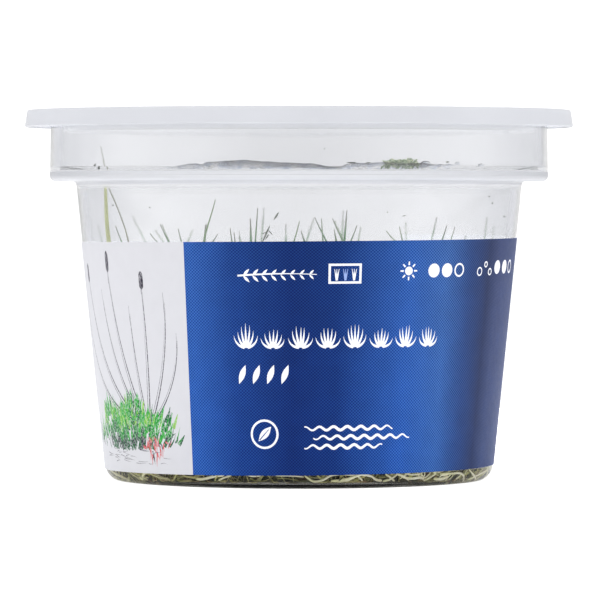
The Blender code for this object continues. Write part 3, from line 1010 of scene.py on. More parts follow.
FLAT_RADIUS = 40.0
PANEL_EDGE = ((-31.85, PRINT_BOTTOM), (-30.85, PRINT_TOP))
PANEL_START = -104.0
MARK_RADIUS = 1.30
MARK_LINE = 0.34
BLUE, PANEL, INK, TINT, PENCIL, PENCIL_DARK, LEAF, LEAF_DARK, LEAF_YELLOW, ROSE, PAPER = range(11)


def flat(azimuth, height):
    """A point of the print in flat millimetres from degrees and millimetres."""
    return (math.radians(azimuth) * FLAT_RADIUS, height)


def stroke(points, widths):
    """A polygon along a line of flat points, with a width at each point."""
    left, right = [], []
    for index, (point, width) in enumerate(zip(points, widths)):
        before = Vector(points[max(index - 1, 0)])
        after = Vector(points[min(index + 1, len(points) - 1)])
        run = (after - before).normalized()
        side = Vector((-run.y, run.x)) * width / 2.0
        left.append(tuple(Vector(point) + side))
        right.append(tuple(Vector(point) - side))
    return left + right[::-1]


def curved(start, end, bow, steps):
    """Flat points from start to end that stand off the straight line by the bow halfway."""
    first, last = Vector(start), Vector(end)
    run = last - first
    side = Vector((-run.y, run.x)).normalized()
    points = []
    for step in range(steps + 1):
        share = step / steps
        points.append(tuple(first.lerp(last, share) + side * bow * 4.0 * share * (1.0 - share)))
    return points


def tapered(start, end, bow, width, tip=0.08, steps=8):
    """A stroke that is widest low down and runs out to a fine tip."""
    widths = [width * max(tip, 1.0 - (step / steps) ** 1.6) for step in range(steps + 1)]
    return stroke(curved(start, end, bow, steps), widths)


def disc(centre, radius):
    steps = 28
    turns = [FULL_TURN * step / steps for step in range(steps)]
    return [(centre[0] + radius * math.cos(turn), centre[1] + radius * math.sin(turn)) for turn in turns]


def box_outline(low, high):
    return [low, (high[0], low[1]), high, (low[0], high[1])]


def leaf_shape(start, end, width):
    """A pointed oval leaf from start to end."""
    steps, narrowest = 7, 0.02
    widths = [max(narrowest, width * math.sin(math.pi * step / steps)) for step in range(steps + 1)]
    return stroke(curved(start, end, 0.0, steps), widths)


def add_ring(shapes, centre, radius, line):
    """A white ring on the blue, with a line of a width."""
    shapes.append((INK, disc(centre, radius)))
    shapes.append((BLUE, disc(centre, radius - line)))


def rating_marks(shapes, azimuths, height):
    """Two full marks and one open mark in a row."""
    for azimuth in azimuths[:2]:
        shapes.append((INK, disc(flat(azimuth, height), MARK_RADIUS)))
    add_ring(shapes, flat(azimuths[2], height), MARK_RADIUS, MARK_LINE)


def sprig(shapes, start, end, leaves, size):
    """A lying sprig: a stem with pairs of small leaves that shrink towards its tip."""
    first, last = Vector(start), Vector(end)
    stem_bow, stem_width, shrinking, slant, leaf_width = 0.25, 0.34, 0.35, 0.95, 0.42
    shapes.append((INK, tapered(start, end, stem_bow, stem_width, tip=0.4)))
    for index in range(leaves):
        share = (index + 0.6) / (leaves + 0.4)
        foot = first.lerp(last, share)
        reach = size * (1.0 - shrinking * share)
        for side in (-1.0, 1.0):
            tip = foot + Vector((reach * slant, side * reach))
            shapes.append((INK, leaf_shape(tuple(foot), tuple(tip), reach * leaf_width)))


def sun(shapes, centre, radius):
    """A disc with rays around it."""
    rays, disc_share, ray_start, foot_width, tip_width = 8, 0.46, 0.62, 0.20, 0.14
    shapes.append((INK, disc(centre, radius * disc_share)))
    for index in range(rays):
        turn = FULL_TURN * index / rays
        way = Vector((math.cos(turn), math.sin(turn))) * radius
        ends = [tuple(Vector(centre) + way * ray_start), tuple(Vector(centre) + way)]
        shapes.append((INK, stroke(ends, [radius * foot_width, radius * tip_width])))


def grass_frieze(shapes, chance):
    """A row of grass tufts drawn in white, and a row of leaves below it."""
    low, high = 26.3, 30.9
    first_turn, last_turn = -14.2, 37.0
    heights = 1.0, 0.8, 0.92, 0.86
    tufts, blades_per_side = 8, 3
    foot_spread, tip_spread, width = 0.34, 2.2, 0.50
    for index in range(tufts):
        foot = flat(first_turn + index * (last_turn - first_turn) / (tufts - 1), low)
        tallest = (high - low) * heights[index % len(heights)]
        for place in range(-blades_per_side, blades_per_side + 1):
            bend = place / blades_per_side
            reach = tallest * (1.0 - 0.5 * bend * bend) * chance.uniform(0.82, 1.0)
            tip = (foot[0] + bend * tip_spread + chance.uniform(-0.15, 0.15), low + reach)
            start = (foot[0] + bend * foot_spread, low)
            shapes.append((INK, tapered(start, tip, -0.5 * bend, width, tip=0.05, steps=7)))
    leaves, leaf_spacing, leaf_width = 4, 3.9, 1.15
    for index in range(leaves):
        foot = flat(-16.4 + index * leaf_spacing, 19.6)
        shapes.append((INK, leaf_shape(foot, (foot[0] + 1.3, foot[1] + 3.5), leaf_width)))


def ripples(shapes):
    """The lowest row: a leaf in a ring, and lines of ripples beside it."""
    x, z = flat(-9.6, 10.3)
    ring_radius, ring_line, leaf_width = 2.75, 0.42, 1.5
    add_ring(shapes, (x, z), ring_radius, ring_line)
    shapes.append((INK, leaf_shape((x - 1.2, z - 1.3), (x + 1.3, z + 1.4), leaf_width)))
    shapes.append((BLUE, stroke([(x - 1.0, z - 1.1), (x + 0.8, z + 0.85)], [0.2, 0.12])))
    wave_height, wave_rate, line_width, steps_per_degree = 0.34, 2.3, 0.56, 2.4
    for height, low, high in ((11.3, 1.5, 27.0), (9.6, 4.0, 32.5), (7.9, 1.5, 24.0)):
        points, widths = [], []
        steps = round((high - low) * steps_per_degree)
        for step in range(steps + 1):
            x, z = flat(low + (high - low) * step / steps, height)
            points.append((x, z + wave_height * math.sin(x * wave_rate + height)))
            widths.append(line_width * max(0.1, math.sin(math.pi * step / steps)) ** 0.35)
        shapes.append((INK, stroke(points, widths)))


def pictograms(shapes):
    """The upper row: a sprig, a planted tray, a sun and bubbles beside rows of marks."""
    sprig(shapes, flat(-16.0, 39.6), flat(4.6, 39.75), 8, 1.25)
    low, high, line = 38.0, 41.7, 0.42
    left, right = flat(7.6, low)[0], flat(16.3, low)[0]
    shapes.append((INK, box_outline((left, low), (right, high))))
    shapes.append((BLUE, box_outline((left + line, low + line), (right - line, high - line))))
    first_plant, plant_spacing, blade_foot, blade_tip, blade_width = 1.5, 1.6, 0.6, 2.7, 0.34
    for index, colour in enumerate((INK, TINT, INK)):
        x = left + first_plant + index * plant_spacing
        for lean in (-0.42, 0.0, 0.42):
            ends = (x, low + blade_foot), (x + lean, low + blade_tip)
            shapes.append((colour, tapered(*ends, 0.0, blade_width, tip=0.3)))
    sun(shapes, flat(29.6, 40.2), 1.75)
    rating_marks(shapes, (37.5, 42.0, 46.5), 40.2)
    bubble_line = 0.26
    for azimuth, height, radius in ((55.3, 39.8, 0.85), (58.2, 41.1, 0.6), (60.6, 39.7, 0.7)):
        add_ring(shapes, flat(azimuth, height), radius, bubble_line)
    rating_marks(shapes, (65.0, 70.3, 75.4), 40.5)


def cushion_strokes(shapes, chance):
    """The green cushion: soft broad strokes, then fine bright ones above and dark ones low down."""
    middle, half_width, low, high = -57.5, 22.0, 7.4, 19.0
    broad = 190, (0.7, 1.05), (2.0, 3.6)
    fine = 460, (0.22, 0.42), (1.5, 3.8)
    for count, widths, lengths in (broad, fine):
        for _ in range(count):
            across = chance.gauss(0.0, 0.46)
            level = chance.random()
            if abs(across) > 0.98:
                continue
            lumps = 0.86 + 0.14 * math.sin(across * 9.0)
            top = low + (high - low) * math.sqrt(1.0 - across * across) * lumps
            sag = 0.8 * (1.0 - abs(across))
            foot = flat(middle + across * half_width, low + (top - low) * level * 0.78 - sag)
            lean = across * 1.5 + chance.uniform(-0.7, 0.7)
            tip = (foot[0] + lean, foot[1] + chance.uniform(*lengths) * (0.7 + 0.3 * level))
            if level < 0.24:
                colours = LEAF_DARK, PENCIL_DARK, LEAF_DARK, ROSE if across > 0.25 else LEAF_DARK
            elif level < 0.5:
                colours = LEAF_DARK, LEAF, LEAF_DARK, LEAF
            else:
                colours = LEAF, LEAF, LEAF_YELLOW, LEAF, LEAF_DARK
            colour = chance.choice(colours)
            bow, width = chance.uniform(-0.25, 0.25), chance.uniform(*widths)
            shapes.append((colour, tapered(foot, tip, bow, width, steps=4)))
    root_strokes = 26
    for _ in range(root_strokes):
        foot = flat(chance.gauss(-44.5, 2.4), chance.uniform(6.0, 9.6))
        tip = (foot[0] + chance.uniform(-0.7, 0.8), foot[1] - chance.uniform(1.2, 2.6))
        colour = chance.choice((ROSE, ROSE, PENCIL_DARK))
        bow, width = chance.uniform(-0.2, 0.2), chance.uniform(0.25, 0.42)
        shapes.append((colour, tapered(foot, tip, bow, width, steps=4)))


def reed_drawing(shapes, chance):
    """A pencil drawing on the white panel: reeds over a green cushion, and fine lines for the ground."""
    root = flat(-47.0, 13.0)
    reeds = (
        (-83.0, 33.5, 4.6, 0.95), (-77.0, 41.0, 4.2, 1.0), (-66.0, 37.0, 2.4, 0.8),
        (-61.5, 42.8, 1.8, 0.95), (-52.0, 34.0, 0.6, 0.7), (-46.5, 40.3, -0.6, 0.85),
        (-38.5, 36.5, -1.8, 0.8), (-34.8, 29.0, -2.2, 0.7),
    )
    steps = 14
    for azimuth, height, bow, width in reeds:
        tip = flat(azimuth, height)
        start = (root[0] + (tip[0] - root[0]) * 0.12, root[1] - 1.0)
        shapes.append((PENCIL, tapered(start, tip, bow, width, steps=steps)))
        inner = curved(start, tip, bow, steps)
        light = [(x - width * 0.08, z) for x, z in inner[1:-2]]
        light_widths = [width * 0.46 * (1.0 - (step / steps) ** 1.4) for step in range(len(light))]
        shapes.append((PANEL, stroke(light, light_widths)))
        vein = [(x + width * 0.26, z) for x, z in inner[1:-1]]
        shapes.append((PENCIL_DARK, stroke(vein, [0.20 - 0.012 * step for step in range(len(vein))])))
    for azimuth, height, length in ((-77.0, 38.2, 3.6), (-61.5, 40.2, 4.0), (-46.5, 37.0, 3.4)):
        x, z = flat(azimuth + 0.5, height)
        head = [(x, z + length * share) for share in (0.0, 0.15, 0.5, 0.85, 1.0)]
        shapes.append((PENCIL_DARK, stroke(head, (0.3, 1.05, 1.15, 1.0, 0.3))))
        shapes.append((PENCIL, stroke([(x - 0.2, z) for x, z in head[1:4]], (0.2, 0.3, 0.2))))
    cushion_strokes(shapes, chance)
    ground_lines = 30
    for _ in range(ground_lines):
        start = flat(chance.gauss(-60.0, 9.0), chance.uniform(4.4, 7.6))
        end = (start[0] + chance.uniform(1.4, 4.2), start[1] + chance.uniform(-0.5, 0.3))
        bow, width = chance.uniform(-0.2, 0.2), chance.uniform(0.09, 0.17)
        shapes.append((PENCIL, tapered(start, end, bow, width, steps=5)))


def label_shapes():
    """Every printed shape as (colour, polygon). A later shape lies over an earlier one."""
    chance = random.Random(5)
    edge = [flat(*place) for place in PANEL_EDGE]
    shapes = [(PANEL, [flat(PANEL_START, PRINT_BOTTOM), *edge, flat(PANEL_START, PRINT_TOP)])]
    reed_drawing(shapes, chance)
    grass_frieze(shapes, chance)
    pictograms(shapes)
    ripples(shapes)
    return shapes


def inside_polygon(points, polygon):
    """Which of the points, an array of rows, lie in the polygon."""
    corners = np.array(polygon)
    following = np.roll(corners, -1, axis=0)
    found = np.zeros(len(points), bool)
    x, y = points[:, 0], points[:, 1]
    for (x1, y1), (x2, y2) in zip(corners, following):
        if y1 == y2:
            continue
        crosses = (y1 > y) != (y2 > y)
        found ^= crosses & (x < (x2 - x1) * (y - y1) / (y2 - y1) + x1)
    return found


def cut_print(shapes):
    """Cuts the flat label along every shape's outline. Returns flat points, triangles and their colours."""
    strips, tolerance = 120, 1e-5
    points, edges = [], []
    for step in range(strips + 1):
        azimuth = -LABEL_HALF_ANGLE + 2.0 * LABEL_HALF_ANGLE * step / strips
        points += [flat(azimuth, PRINT_BOTTOM), flat(azimuth, PRINT_TOP)]
        edges.append((2 * step, 2 * step + 1))
        if step:
            edges += [(2 * step - 2, 2 * step), (2 * step - 1, 2 * step + 1)]
    for _, polygon in shapes:
        first = len(points)
        points += polygon
        count = len(polygon)
        edges += [(first + index, first + (index + 1) % count) for index in range(count)]
    cut = delaunay_2d_cdt([Vector(point) for point in points], edges, [], 0, tolerance)
    flat_points = np.array([tuple(point) for point in cut[0]])
    triangles = np.array([tuple(face) for face in cut[2]])
    corners = flat_points[triangles]
    doubled_area = np.cross(corners[:, 1] - corners[:, 0], corners[:, 2] - corners[:, 0])
    triangles[doubled_area < 0] = triangles[doubled_area < 0][:, ::-1]
    centres = flat_points[triangles].mean(axis=1)
    colours = np.zeros(len(triangles), int)
    for colour, polygon in shapes:
        colours[inside_polygon(centres, polygon)] = colour
    return flat_points, triangles, colours


def wrap(flat_points, outside):
    """Places flat points on the cone, and gives the cone's outward directions there."""
    azimuth = flat_points[:, 0] / FLAT_RADIUS
    height = flat_points[:, 1] * MILLIMETRE + LABEL_SKEW * azimuth
    radius = BODY_RADIUS_AT_FOOT + BODY_TAPER * height + outside
    around = np.stack((np.sin(azimuth), -np.cos(azimuth)), axis=1)
    places = np.column_stack((around * radius[:, None], height))
    outwards = np.column_stack((around, np.full(len(around), -BODY_TAPER)))
    return places, outwards / np.linalg.norm(outwards, axis=1)[:, None]


def rim_edges(triangles):
    """The edges that only one triangle has, in that triangle's direction."""
    seen = {}
    for a, b, c in triangles:
        for pair in ((a, b), (b, c), (c, a)):
            seen.setdefault(tuple(sorted(pair)), []).append(pair)
    return [pairs[0] for pairs in seen.values() if len(pairs) == 1]


def add_label(materials):
    """A thin closed film: the print outside, plain paper inside and a rim all round."""
    flat_points, triangles, colours = cut_print(label_shapes())
    count = len(flat_points)
    outer, outwards = wrap(flat_points, LABEL_GAP + LABEL_THICKNESS)
    inner, _ = wrap(flat_points, LABEL_GAP)
    rim = rim_edges(triangles)
    faces = [tuple(face) for face in triangles]
    faces += [tuple(face[::-1] + count) for face in triangles]
    faces += [(b, a, a + count, b + count) for a, b in rim]
    mesh = bpy.data.meshes.new("label_print")
    mesh.from_pydata(np.vstack((outer, inner)).tolist(), [], [[int(i) for i in face] for face in faces])
    slots = np.concatenate((colours, np.full(len(triangles) + len(rim), PAPER)))
    mesh.polygons.foreach_set("material_index", slots.astype(np.int32))
    for material in materials:
        mesh.materials.append(material)
    mesh.shade_smooth()
    mesh.update()
    corner_points = np.zeros(len(mesh.loops), np.int32)
    mesh.loops.foreach_get("vertex_index", corner_points)
    normals = np.vstack((outwards, -outwards))[corner_points]
    rim_start = 2 * len(triangles)
    for polygon in mesh.polygons[rim_start:]:
        for corner in polygon.loop_indices:
            normals[corner] = polygon.normal
    mesh.normals_split_custom_set(normals.tolist())
    link(bpy.data.objects.new("label_print", mesh), "label_film", "label")


def label_materials():
    """In the order of the colour numbers. The white paper glows with painted light, for light from behind
    that shines through it.
    """
    paper = glow(print_colour("label_paper", srgb(242, 242, 242)), (0.96, 0.97, 1.0, 1.0), 0.8)
    pencils = (
        ("pencil", 112, 109, 118), ("pencil_dark", 58, 54, 66), ("leaf", 52, 160, 62),
        ("leaf_dark", 24, 92, 52), ("leaf_yellow", 140, 194, 78), ("rose", 204, 96, 100),
    )
    return (
        blue_print(),
        print_colour("label_panel", srgb(210, 210, 215)),
        print_colour("label_white_ink", srgb(244, 245, 250), 0.02),
        print_colour("label_tint", srgb(150, 172, 226)),
        *(pencil_colour("label_" + name, srgb(*colour)) for name, *colour in pencils),
        paper,
    )


# Strands: grass blades, roots and runners as tubes in one mesh


def tube_frames(points):
    """Two directions across a line of points at each point, without twist."""
    runs = [(after - before).normalized() for before, after in zip(points, points[1:])]
    runs.append(runs[-1])
    side = runs[0].orthogonal().normalized()
    frames = []
    for run in runs:
        side = (side - run * side.dot(run)).normalized()
        frames.append((side, run.cross(side)))
    return frames


def strands_mesh(name, strands, sides, material):
    """One mesh of closed tubes. A strand is (points, radii, shade)."""
    places, faces, along, shades = [], [], [], []
    turns = [FULL_TURN * index / sides for index in range(sides)]
    for points, radii, shade in strands:
        first = len(places)
        last_ring = len(points) - 1
        for step, (point, radius, (side, up)) in enumerate(zip(points, radii, tube_frames(points))):
            for turn in turns:
                places.append(point + (side * math.cos(turn) + up * math.sin(turn)) * radius)
            along += [step / last_ring] * sides
        shades += [shade] * (sides * len(points))
        for ring in range(last_ring):
            low = first + ring * sides
            for index in range(sides):
                following = (index + 1) % sides
                faces.append((low + index, low + following, low + sides + following, low + sides + index))
        faces.append(tuple(first + index for index in reversed(range(sides))))
        faces.append(tuple(first + last_ring * sides + index for index in range(sides)))
    mesh = bpy.data.meshes.new(name)
    mesh.from_pydata([tuple(place) for place in places], [], faces)
    for attribute, values in (("along", along), ("shade", shades)):
        mesh.attributes.new(attribute, "FLOAT", "POINT").data.foreach_set("value", values)
    mesh.materials.append(material)
    mesh.shade_smooth()
    mesh.set_sharp_from_angle(angle=math.radians(STRAND_SMOOTH_DEGREES))
    return bpy.data.objects.new(name, mesh)


def thinning(radius, tip_radius, count, power):
    """The radii of a strand's rings. The higher the power, the nearer the tip it thins."""
    last = count - 1
    return [tip_radius + (radius - tip_radius) * (1.0 - (step / last) ** power) for step in range(count)]


def level_way(turn):
    """The level direction at an angle from +X."""
    return Vector((math.cos(turn), math.sin(turn), 0.0))


def blade(foot, tip, bow, radius, tip_radius, shade, rings=13, sway=0.0, phase=0.0):
    """A leaf blade: it stands off the straight line by the bow halfway up, and sways a little."""
    outwards = Vector((tip.x, tip.y, 0.0)).normalized()
    across = Vector((-outwards.y, outwards.x, 0.0))
    points = []
    for step in range(rings + 1):
        share = step / rings
        stand_off = outwards * bow * 4.0 * share * (1.0 - share)
        swing = across * sway * math.sin(share * math.pi * 1.7 + phase) * share
        points.append(foot.lerp(tip, share) + stand_off + swing)
    return points, thinning(radius, tip_radius, rings + 1, 2.2), shade


def smooth_line(route, steps):
    """A smooth line through the points of a route, with a number of steps between each two."""
    ends = [route[0] * 2.0 - route[1], *route, route[-1] * 2.0 - route[-2]]
    line = [route[0].copy()]
    for before, start, end, after in zip(ends, ends[1:], ends[2:], ends[3:]):
        slope = end - before
        square = 2.0 * before - 5.0 * start + 4.0 * end - after
        cube = 3.0 * start - before - 3.0 * end + after
        for step in range(1, steps + 1):
            t = step / steps
            line.append(0.5 * (2.0 * start + slope * t + square * t**2 + cube * t**3))
    return line


def inside_wall(point, clearance=WALL_CLEARANCE):
    """The point, moved towards the axis if it would touch the body's wall."""
    limit = body_radius(point.z, -WALL) - clearance
    reach = math.hypot(point.x, point.y)
    share = min(1.0, limit / reach) if reach else 1.0
    return Vector((point.x * share, point.y * share, point.z))


def tuft_centre(index, tip_x):
    """As in the solids: under the highest tip, spread in depth by a golden ratio sequence."""
    x = tip_x * CROWN_SPREAD
    chord = math.sqrt(max(FIELD_RADIUS**2 - x**2, 0.0))
    share = (FIELD_PHASE + index * GOLDEN_SHARE) % 1.0
    return Vector((x, chord * (2.0 * share - 1.0), 0.0))


def main_turn(index):
    """The direction in which a tuft's main blade grows from the crown, as in the solids."""
    return -math.pi + FULL_TURN * (index + 0.5) / BLADES_PER_TUFT


def main_tips(centre, highest, chance):
    """The tips of a tuft's six main blades, as in the solids."""
    tips = [inside_wall(Vector((highest[0], centre.y / CROWN_SPREAD, highest[1])))]
    for index in range(1, BLADES_PER_TUFT):
        length = chance.uniform(*SHORT_BLADE_LENGTH)
        lean = 1.0 + (1.0 / CROWN_SPREAD - 1.0) * length / (highest[1] - GEL_TOP)
        splay = SHORT_BLADE_SPLAY * chance.uniform(0.7, 1.0)
        tip = centre * lean + level_way(main_turn(index)) * splay
        tip.z = GEL_TOP + CROWN_HEIGHT + length
        tips.append(inside_wall(tip))
    return tips


def bent_blade(foot, tip, edge_x, radius, shade):
    """A blade that rises and leans at the top, so that it passes the label's top edge at a side place."""
    steepness = min((edge_x - tip.x) / (tip.z - LABEL_EDGE), STEEPEST_LEAN, key=abs)
    bend = Vector((tip.x + steepness * (tip.z - BEND_HEIGHT), foot.y + (tip.y - foot.y) * 0.9, BEND_HEIGHT))
    middle = foot.lerp(bend, 0.52) + Vector((0.0003, 0.0, 0.0))
    line = smooth_line([foot, middle, bend, tip], 7)
    line = [inside_wall(point) if point.z < SHOULDER_UNDERSIDE else point for point in line]
    return line, thinning(radius, BLADE_TIP_RADIUS, len(line), 4), shade


def fine_blade(centre, chance):
    """A thin blade that grows beside a tuft's centre and leans away from it."""
    turn = chance.uniform(0.0, FULL_TURN)
    away = FINE_BLADE_SPREAD * math.sqrt(chance.random())
    way = level_way(turn)
    foot = centre + way * away
    foot.z = TUFT_FOOT
    length = chance.uniform(*FINE_BLADE_LENGTH) * (1.0 - FINE_BLADE_SHORTENING * away / FINE_BLADE_SPREAD)
    tip = centre * (1.0 + FINE_BLADE_LEAN * length) + way * (away + chance.uniform(*FINE_BLADE_SPLAY))
    tip += Vector((chance.uniform(-1.0, 1.0), chance.uniform(-1.0, 1.0), 0.0)) * FINE_BLADE_SCATTER
    tip.z = GEL_TOP + length
    radius = chance.uniform(*FINE_BLADE_RADIUS)
    bow = min(chance.uniform(-0.0012, 0.0010), 0.0003)
    shade = chance.random()
    sway = chance.uniform(0.0, 0.0006)
    phase = chance.uniform(0.0, 3.0)
    ends = inside_wall(foot, 0.0010), inside_wall(tip, 0.0008)
    return blade(*ends, bow, radius, FINE_TIP_RADIUS, shade, sway=sway, phase=phase)


def tuft_strands(centre, tips, lean, thickness, chance):
    """The main blades and many finer ones between them, all grown from the tuft's foot."""
    strands = []
    for index, tip in enumerate(tips):
        foot = centre + level_way(main_turn(index)) * MAIN_BLADE_SPREAD
        foot.z = TUFT_FOOT
        shade = chance.random() * 0.5
        if index:
            strands.append(blade(foot, tip, -0.0004, BLADE_RADIUS, BLADE_TIP_RADIUS, shade, sway=0.0002))
        else:
            strands.append(bent_blade(foot, tip, tip.x + lean, thickness * BLADE_RADIUS, shade))
    return strands + [fine_blade(centre, chance) for _ in range(FINE_BLADES)]


def add_tufts(material, chance):
    """A piece for each tuft."""
    solids_chance = random.Random(TUFT_SEED)
    for index, (tip_x, tip_z) in enumerate(SKYLINE_MM):
        highest = (tip_x * MILLIMETRE, tip_z * MILLIMETRE)
        centre = tuft_centre(index, highest[0])
        tips = main_tips(centre, highest, solids_chance)
        lean, thickness = LEANS_MM[index]
        strands = tuft_strands(centre, tips, lean * MILLIMETRE, thickness, chance)
        name = f"tuft_{index + 1:02d}"
        link(strands_mesh(name + "_grass", strands, BLADE_SIDES, material), "grass", name)


def add_long_tuft(material, chance):
    """The tuft with two long blades that lean on the wall, and its short blades."""
    foot = Vector((*LONG_TUFT_FOOT_MM, 0.0)) * MILLIMETRE
    strands = []
    for route, radius, tip_radius, shade in LONG_ROUTES_MM:
        line = smooth_line([Vector(point) * MILLIMETRE for point in route], 9)
        strands.append((line, thinning(radius, tip_radius, len(line), 3), shade))
    for _ in range(LONG_TUFT_BLADES):
        way = level_way(chance.uniform(0.0, FULL_TURN))
        start = foot + way * 0.0016 * chance.random() + Vector((0.0, 0.0, TUFT_FOOT))
        side = way * chance.uniform(0.001, 0.004)
        tip = foot * 1.08 + side + Vector((0.0, 0.0, GEL_TOP + chance.uniform(0.012, 0.030)))
        radius = chance.uniform(0.00016, 0.00024)
        strands.append(blade(start, inside_wall(tip), -0.0003, radius, FINE_TIP_RADIUS, chance.random()))
    link(strands_mesh("tuft_long_grass", strands, BLADE_SIDES, material), "grass", "tuft_long")


def add_front_blades(material, chance):
    """The blades that stand at the front wall, over the label's top edge."""
    strands = []
    for tip_mm, bend_mm, thickness in FRONT_BLADES_MM:
        tip = Vector(tip_mm) * MILLIMETRE
        foot = Vector((tip.x, tip.y, 0.0)) * 0.87 + Vector((0.0, 0.0, TUFT_FOOT))
        shade = 0.3 * chance.random()
        strands.append(bent_blade(foot, tip, bend_mm * MILLIMETRE, BLADE_RADIUS * thickness, shade))
    link(strands_mesh("front_blades", strands, BLADE_SIDES, material), "grass")


def add_lawn(material):
    """Short fine blades all over the gel, between the tufts."""
    chance = random.Random(53)
    strands = []
    for _ in range(LAWN_BLADES):
        turn = chance.uniform(0.0, FULL_TURN)
        reach = LAWN_RADIUS * math.sqrt(chance.random())
        foot = Vector((math.cos(turn) * reach, math.sin(turn) * reach, TUFT_FOOT))
        tip = foot + Vector((chance.gauss(0.0, LAWN_LEAN), chance.gauss(0.0, LAWN_LEAN), 0.0))
        tip.z = GEL_TOP + chance.uniform(*LAWN_HEIGHT)
        radius = chance.uniform(0.00014, 0.00022)
        bow = chance.uniform(-0.0012, 0.0003)
        ends = inside_wall(foot, 0.0010), inside_wall(tip, 0.0010)
        strands.append(blade(*ends, bow, radius, 0.00005, chance.random(), rings=9, sway=0.0003))
    link(strands_mesh("lawn", strands, BLADE_SIDES, material), "grass")


def add_stolons(material):
    """Pale runners on the gel that join each tuft to its nearest neighbours."""
    chance = random.Random(17)
    centres = [tuft_centre(index, tip_x * MILLIMETRE) for index, (tip_x, _) in enumerate(SKYLINE_MM)]
    strands = []
    for centre in centres:
        near = sorted(centres, key=lambda other: (other - centre).length)[1 : 1 + STOLONS_PER_TUFT]
        for other in near:
            run = other - centre
            side = Vector((-run.y, run.x, 0.0)) * chance.uniform(-0.22, 0.22)
            low = Vector((0.0, 0.0, GEL_TOP + chance.uniform(-0.0001, 0.0004)))
            high = Vector((0.0, 0.0, GEL_TOP + chance.uniform(0.0004, 0.0012)))
            over, down = centre + run * 0.35 + side + high, centre + run * 0.7 + side * 0.6 + low
            line = smooth_line([centre + low, over, down, other + low], 5)
            strands.append((line, [chance.uniform(0.00016, 0.00026)] * len(line), chance.random()))
    link(strands_mesh("stolons", strands, BLADE_SIDES, material), "grass")


# Gel and roots


def add_gel(materials):
    """Gel with an uneven top that climbs the wall a little."""
    inset = 0.00006
    floor = FLOOR_TOP + inset
    wall_high = body_radius(GEL_TOP + GEL_CLIMB, -WALL - inset)
    outline = rounded(
        (
            (0.0, floor, 0.0),
            (body_radius(floor, -WALL - inset), floor, FLOOR_CORNER),
            (wall_high, GEL_TOP + GEL_CLIMB, 0.00012),
            (wall_high - 0.0016, GEL_TOP, 0.0008),
            (0.0, GEL_TOP, 0.0),
        )
    )
    end = outline.pop()
    last = outline[-1]
    rings = 26
    outline += [last.lerp(end, step / rings) for step in range(1, rings + 1)]
    mesh_tool = lathe(outline, steps=144)
    wave_height, waves_per_metre, flat_radius = 0.0009, 260.0, 0.0345
    for corner in mesh_tool.verts:
        if corner.co.z > GEL_TOP - 0.0002 and corner.co.xy.length < flat_radius:
            corner.co.z += wave_height * noise.noise(corner.co * waves_per_metre + Vector((3.1, 0.4, 7.7)))

    def zone(radius, height):
        """The top is wet gel, and the sides and bottom touch the plastic."""
        touches = radius > body_radius(height, -WALL - 0.0002) or height < FLOOR_TOP + 0.0022
        return AT_THE_WALL if touches else WET_TOP

    made = finish_mesh("gel_clear", mesh_tool, materials, zone=zone)
    link(made, "gel", "gel")


def add_root_mat(material):
    """The dark lumpy core of the root mat."""
    top, low = 0.0042, FLOOR_TOP + 0.0002
    radius = body_radius(low, -WALL) - 0.0022
    corners = (0.0, low, 0.0), (radius, low, 0.0012), (radius + 0.0012, top, 0.0010), (0.0, top, 0.0)
    outline = rounded(corners)
    first, last = outline[0], outline[-1]
    rings = 30
    middle = outline[1:-1]
    outline = [first.lerp(middle[0], step / rings) for step in range(rings)] + middle
    outline += [middle[-1].lerp(last, step / rings) for step in range(1, rings + 1)]
    mesh_tool = lathe(outline, steps=216)
    coarse_lumps, fine_lumps = (420.0, 0.00055), (1300.0, 0.00022)
    # The lumps come out the same in every run
    noise.seed_set(61)
    for corner in mesh_tool.verts:
        place = corner.co.copy()
        lumps = [noise.noise_vector(place * scale) * size for scale, size in (coarse_lumps, fine_lumps)]
        shift = lumps[0] + lumps[1]
        if place.z < low + 0.0004:
            shift.z = abs(shift.z) * 0.4
        corner.co += shift
    made = finish_mesh("root_mat_core", mesh_tool, [material], smooth_degrees=80.0)
    link(made, "root_mat", "root_mat")


def wall_point(azimuth, height, depth):
    """A point inside the cup, a depth in from the wall and the rounded floor corner."""
    reach = body_radius(height, -WALL) - depth
    above = height - FLOOR_TOP
    if above < FLOOR_CORNER:
        reach -= FLOOR_CORNER - math.sqrt(max(FLOOR_CORNER**2 - (FLOOR_CORNER - above) ** 2, 0.0))
    return polar(azimuth, reach, height)


def runner(chance):
    """A thick pale runner that follows the wall."""
    start = chance.uniform(0.0, FULL_TURN)
    length = math.radians(chance.uniform(7.0, 24.0)) * chance.choice((-1.0, 1.0))
    height = chance.uniform(0.0016, 0.0036)
    rise = chance.uniform(-0.0016, 0.0016)
    radius = chance.uniform(0.00018, 0.00036)
    wobble, phase = chance.uniform(0.0001, 0.0006), chance.uniform(0.0, FULL_TURN)
    lowest, highest = FLOOR_TOP + radius + 0.0002, 0.0048
    nearest, wander = radius + 0.00015, 0.0006
    points, radii = [], []
    rings = 16
    for step in range(rings + 1):
        share = step / rings
        level = height + rise * share + wobble * math.sin(phase + share * 6.5)
        wave = 0.5 + 0.5 * math.sin(phase * 2.0 + share * 5.0)
        depth = nearest + wander * wave * chance.uniform(0.9, 1.1)
        points.append(wall_point(start + length * share, min(max(level, lowest), highest), depth))
        rounding = 0.5 if step in (0, rings) else 1.0
        radii.append(radius * (1.0 - 0.45 * share) * rounding)
    return points, radii, chance.uniform(0.25, 1.0)


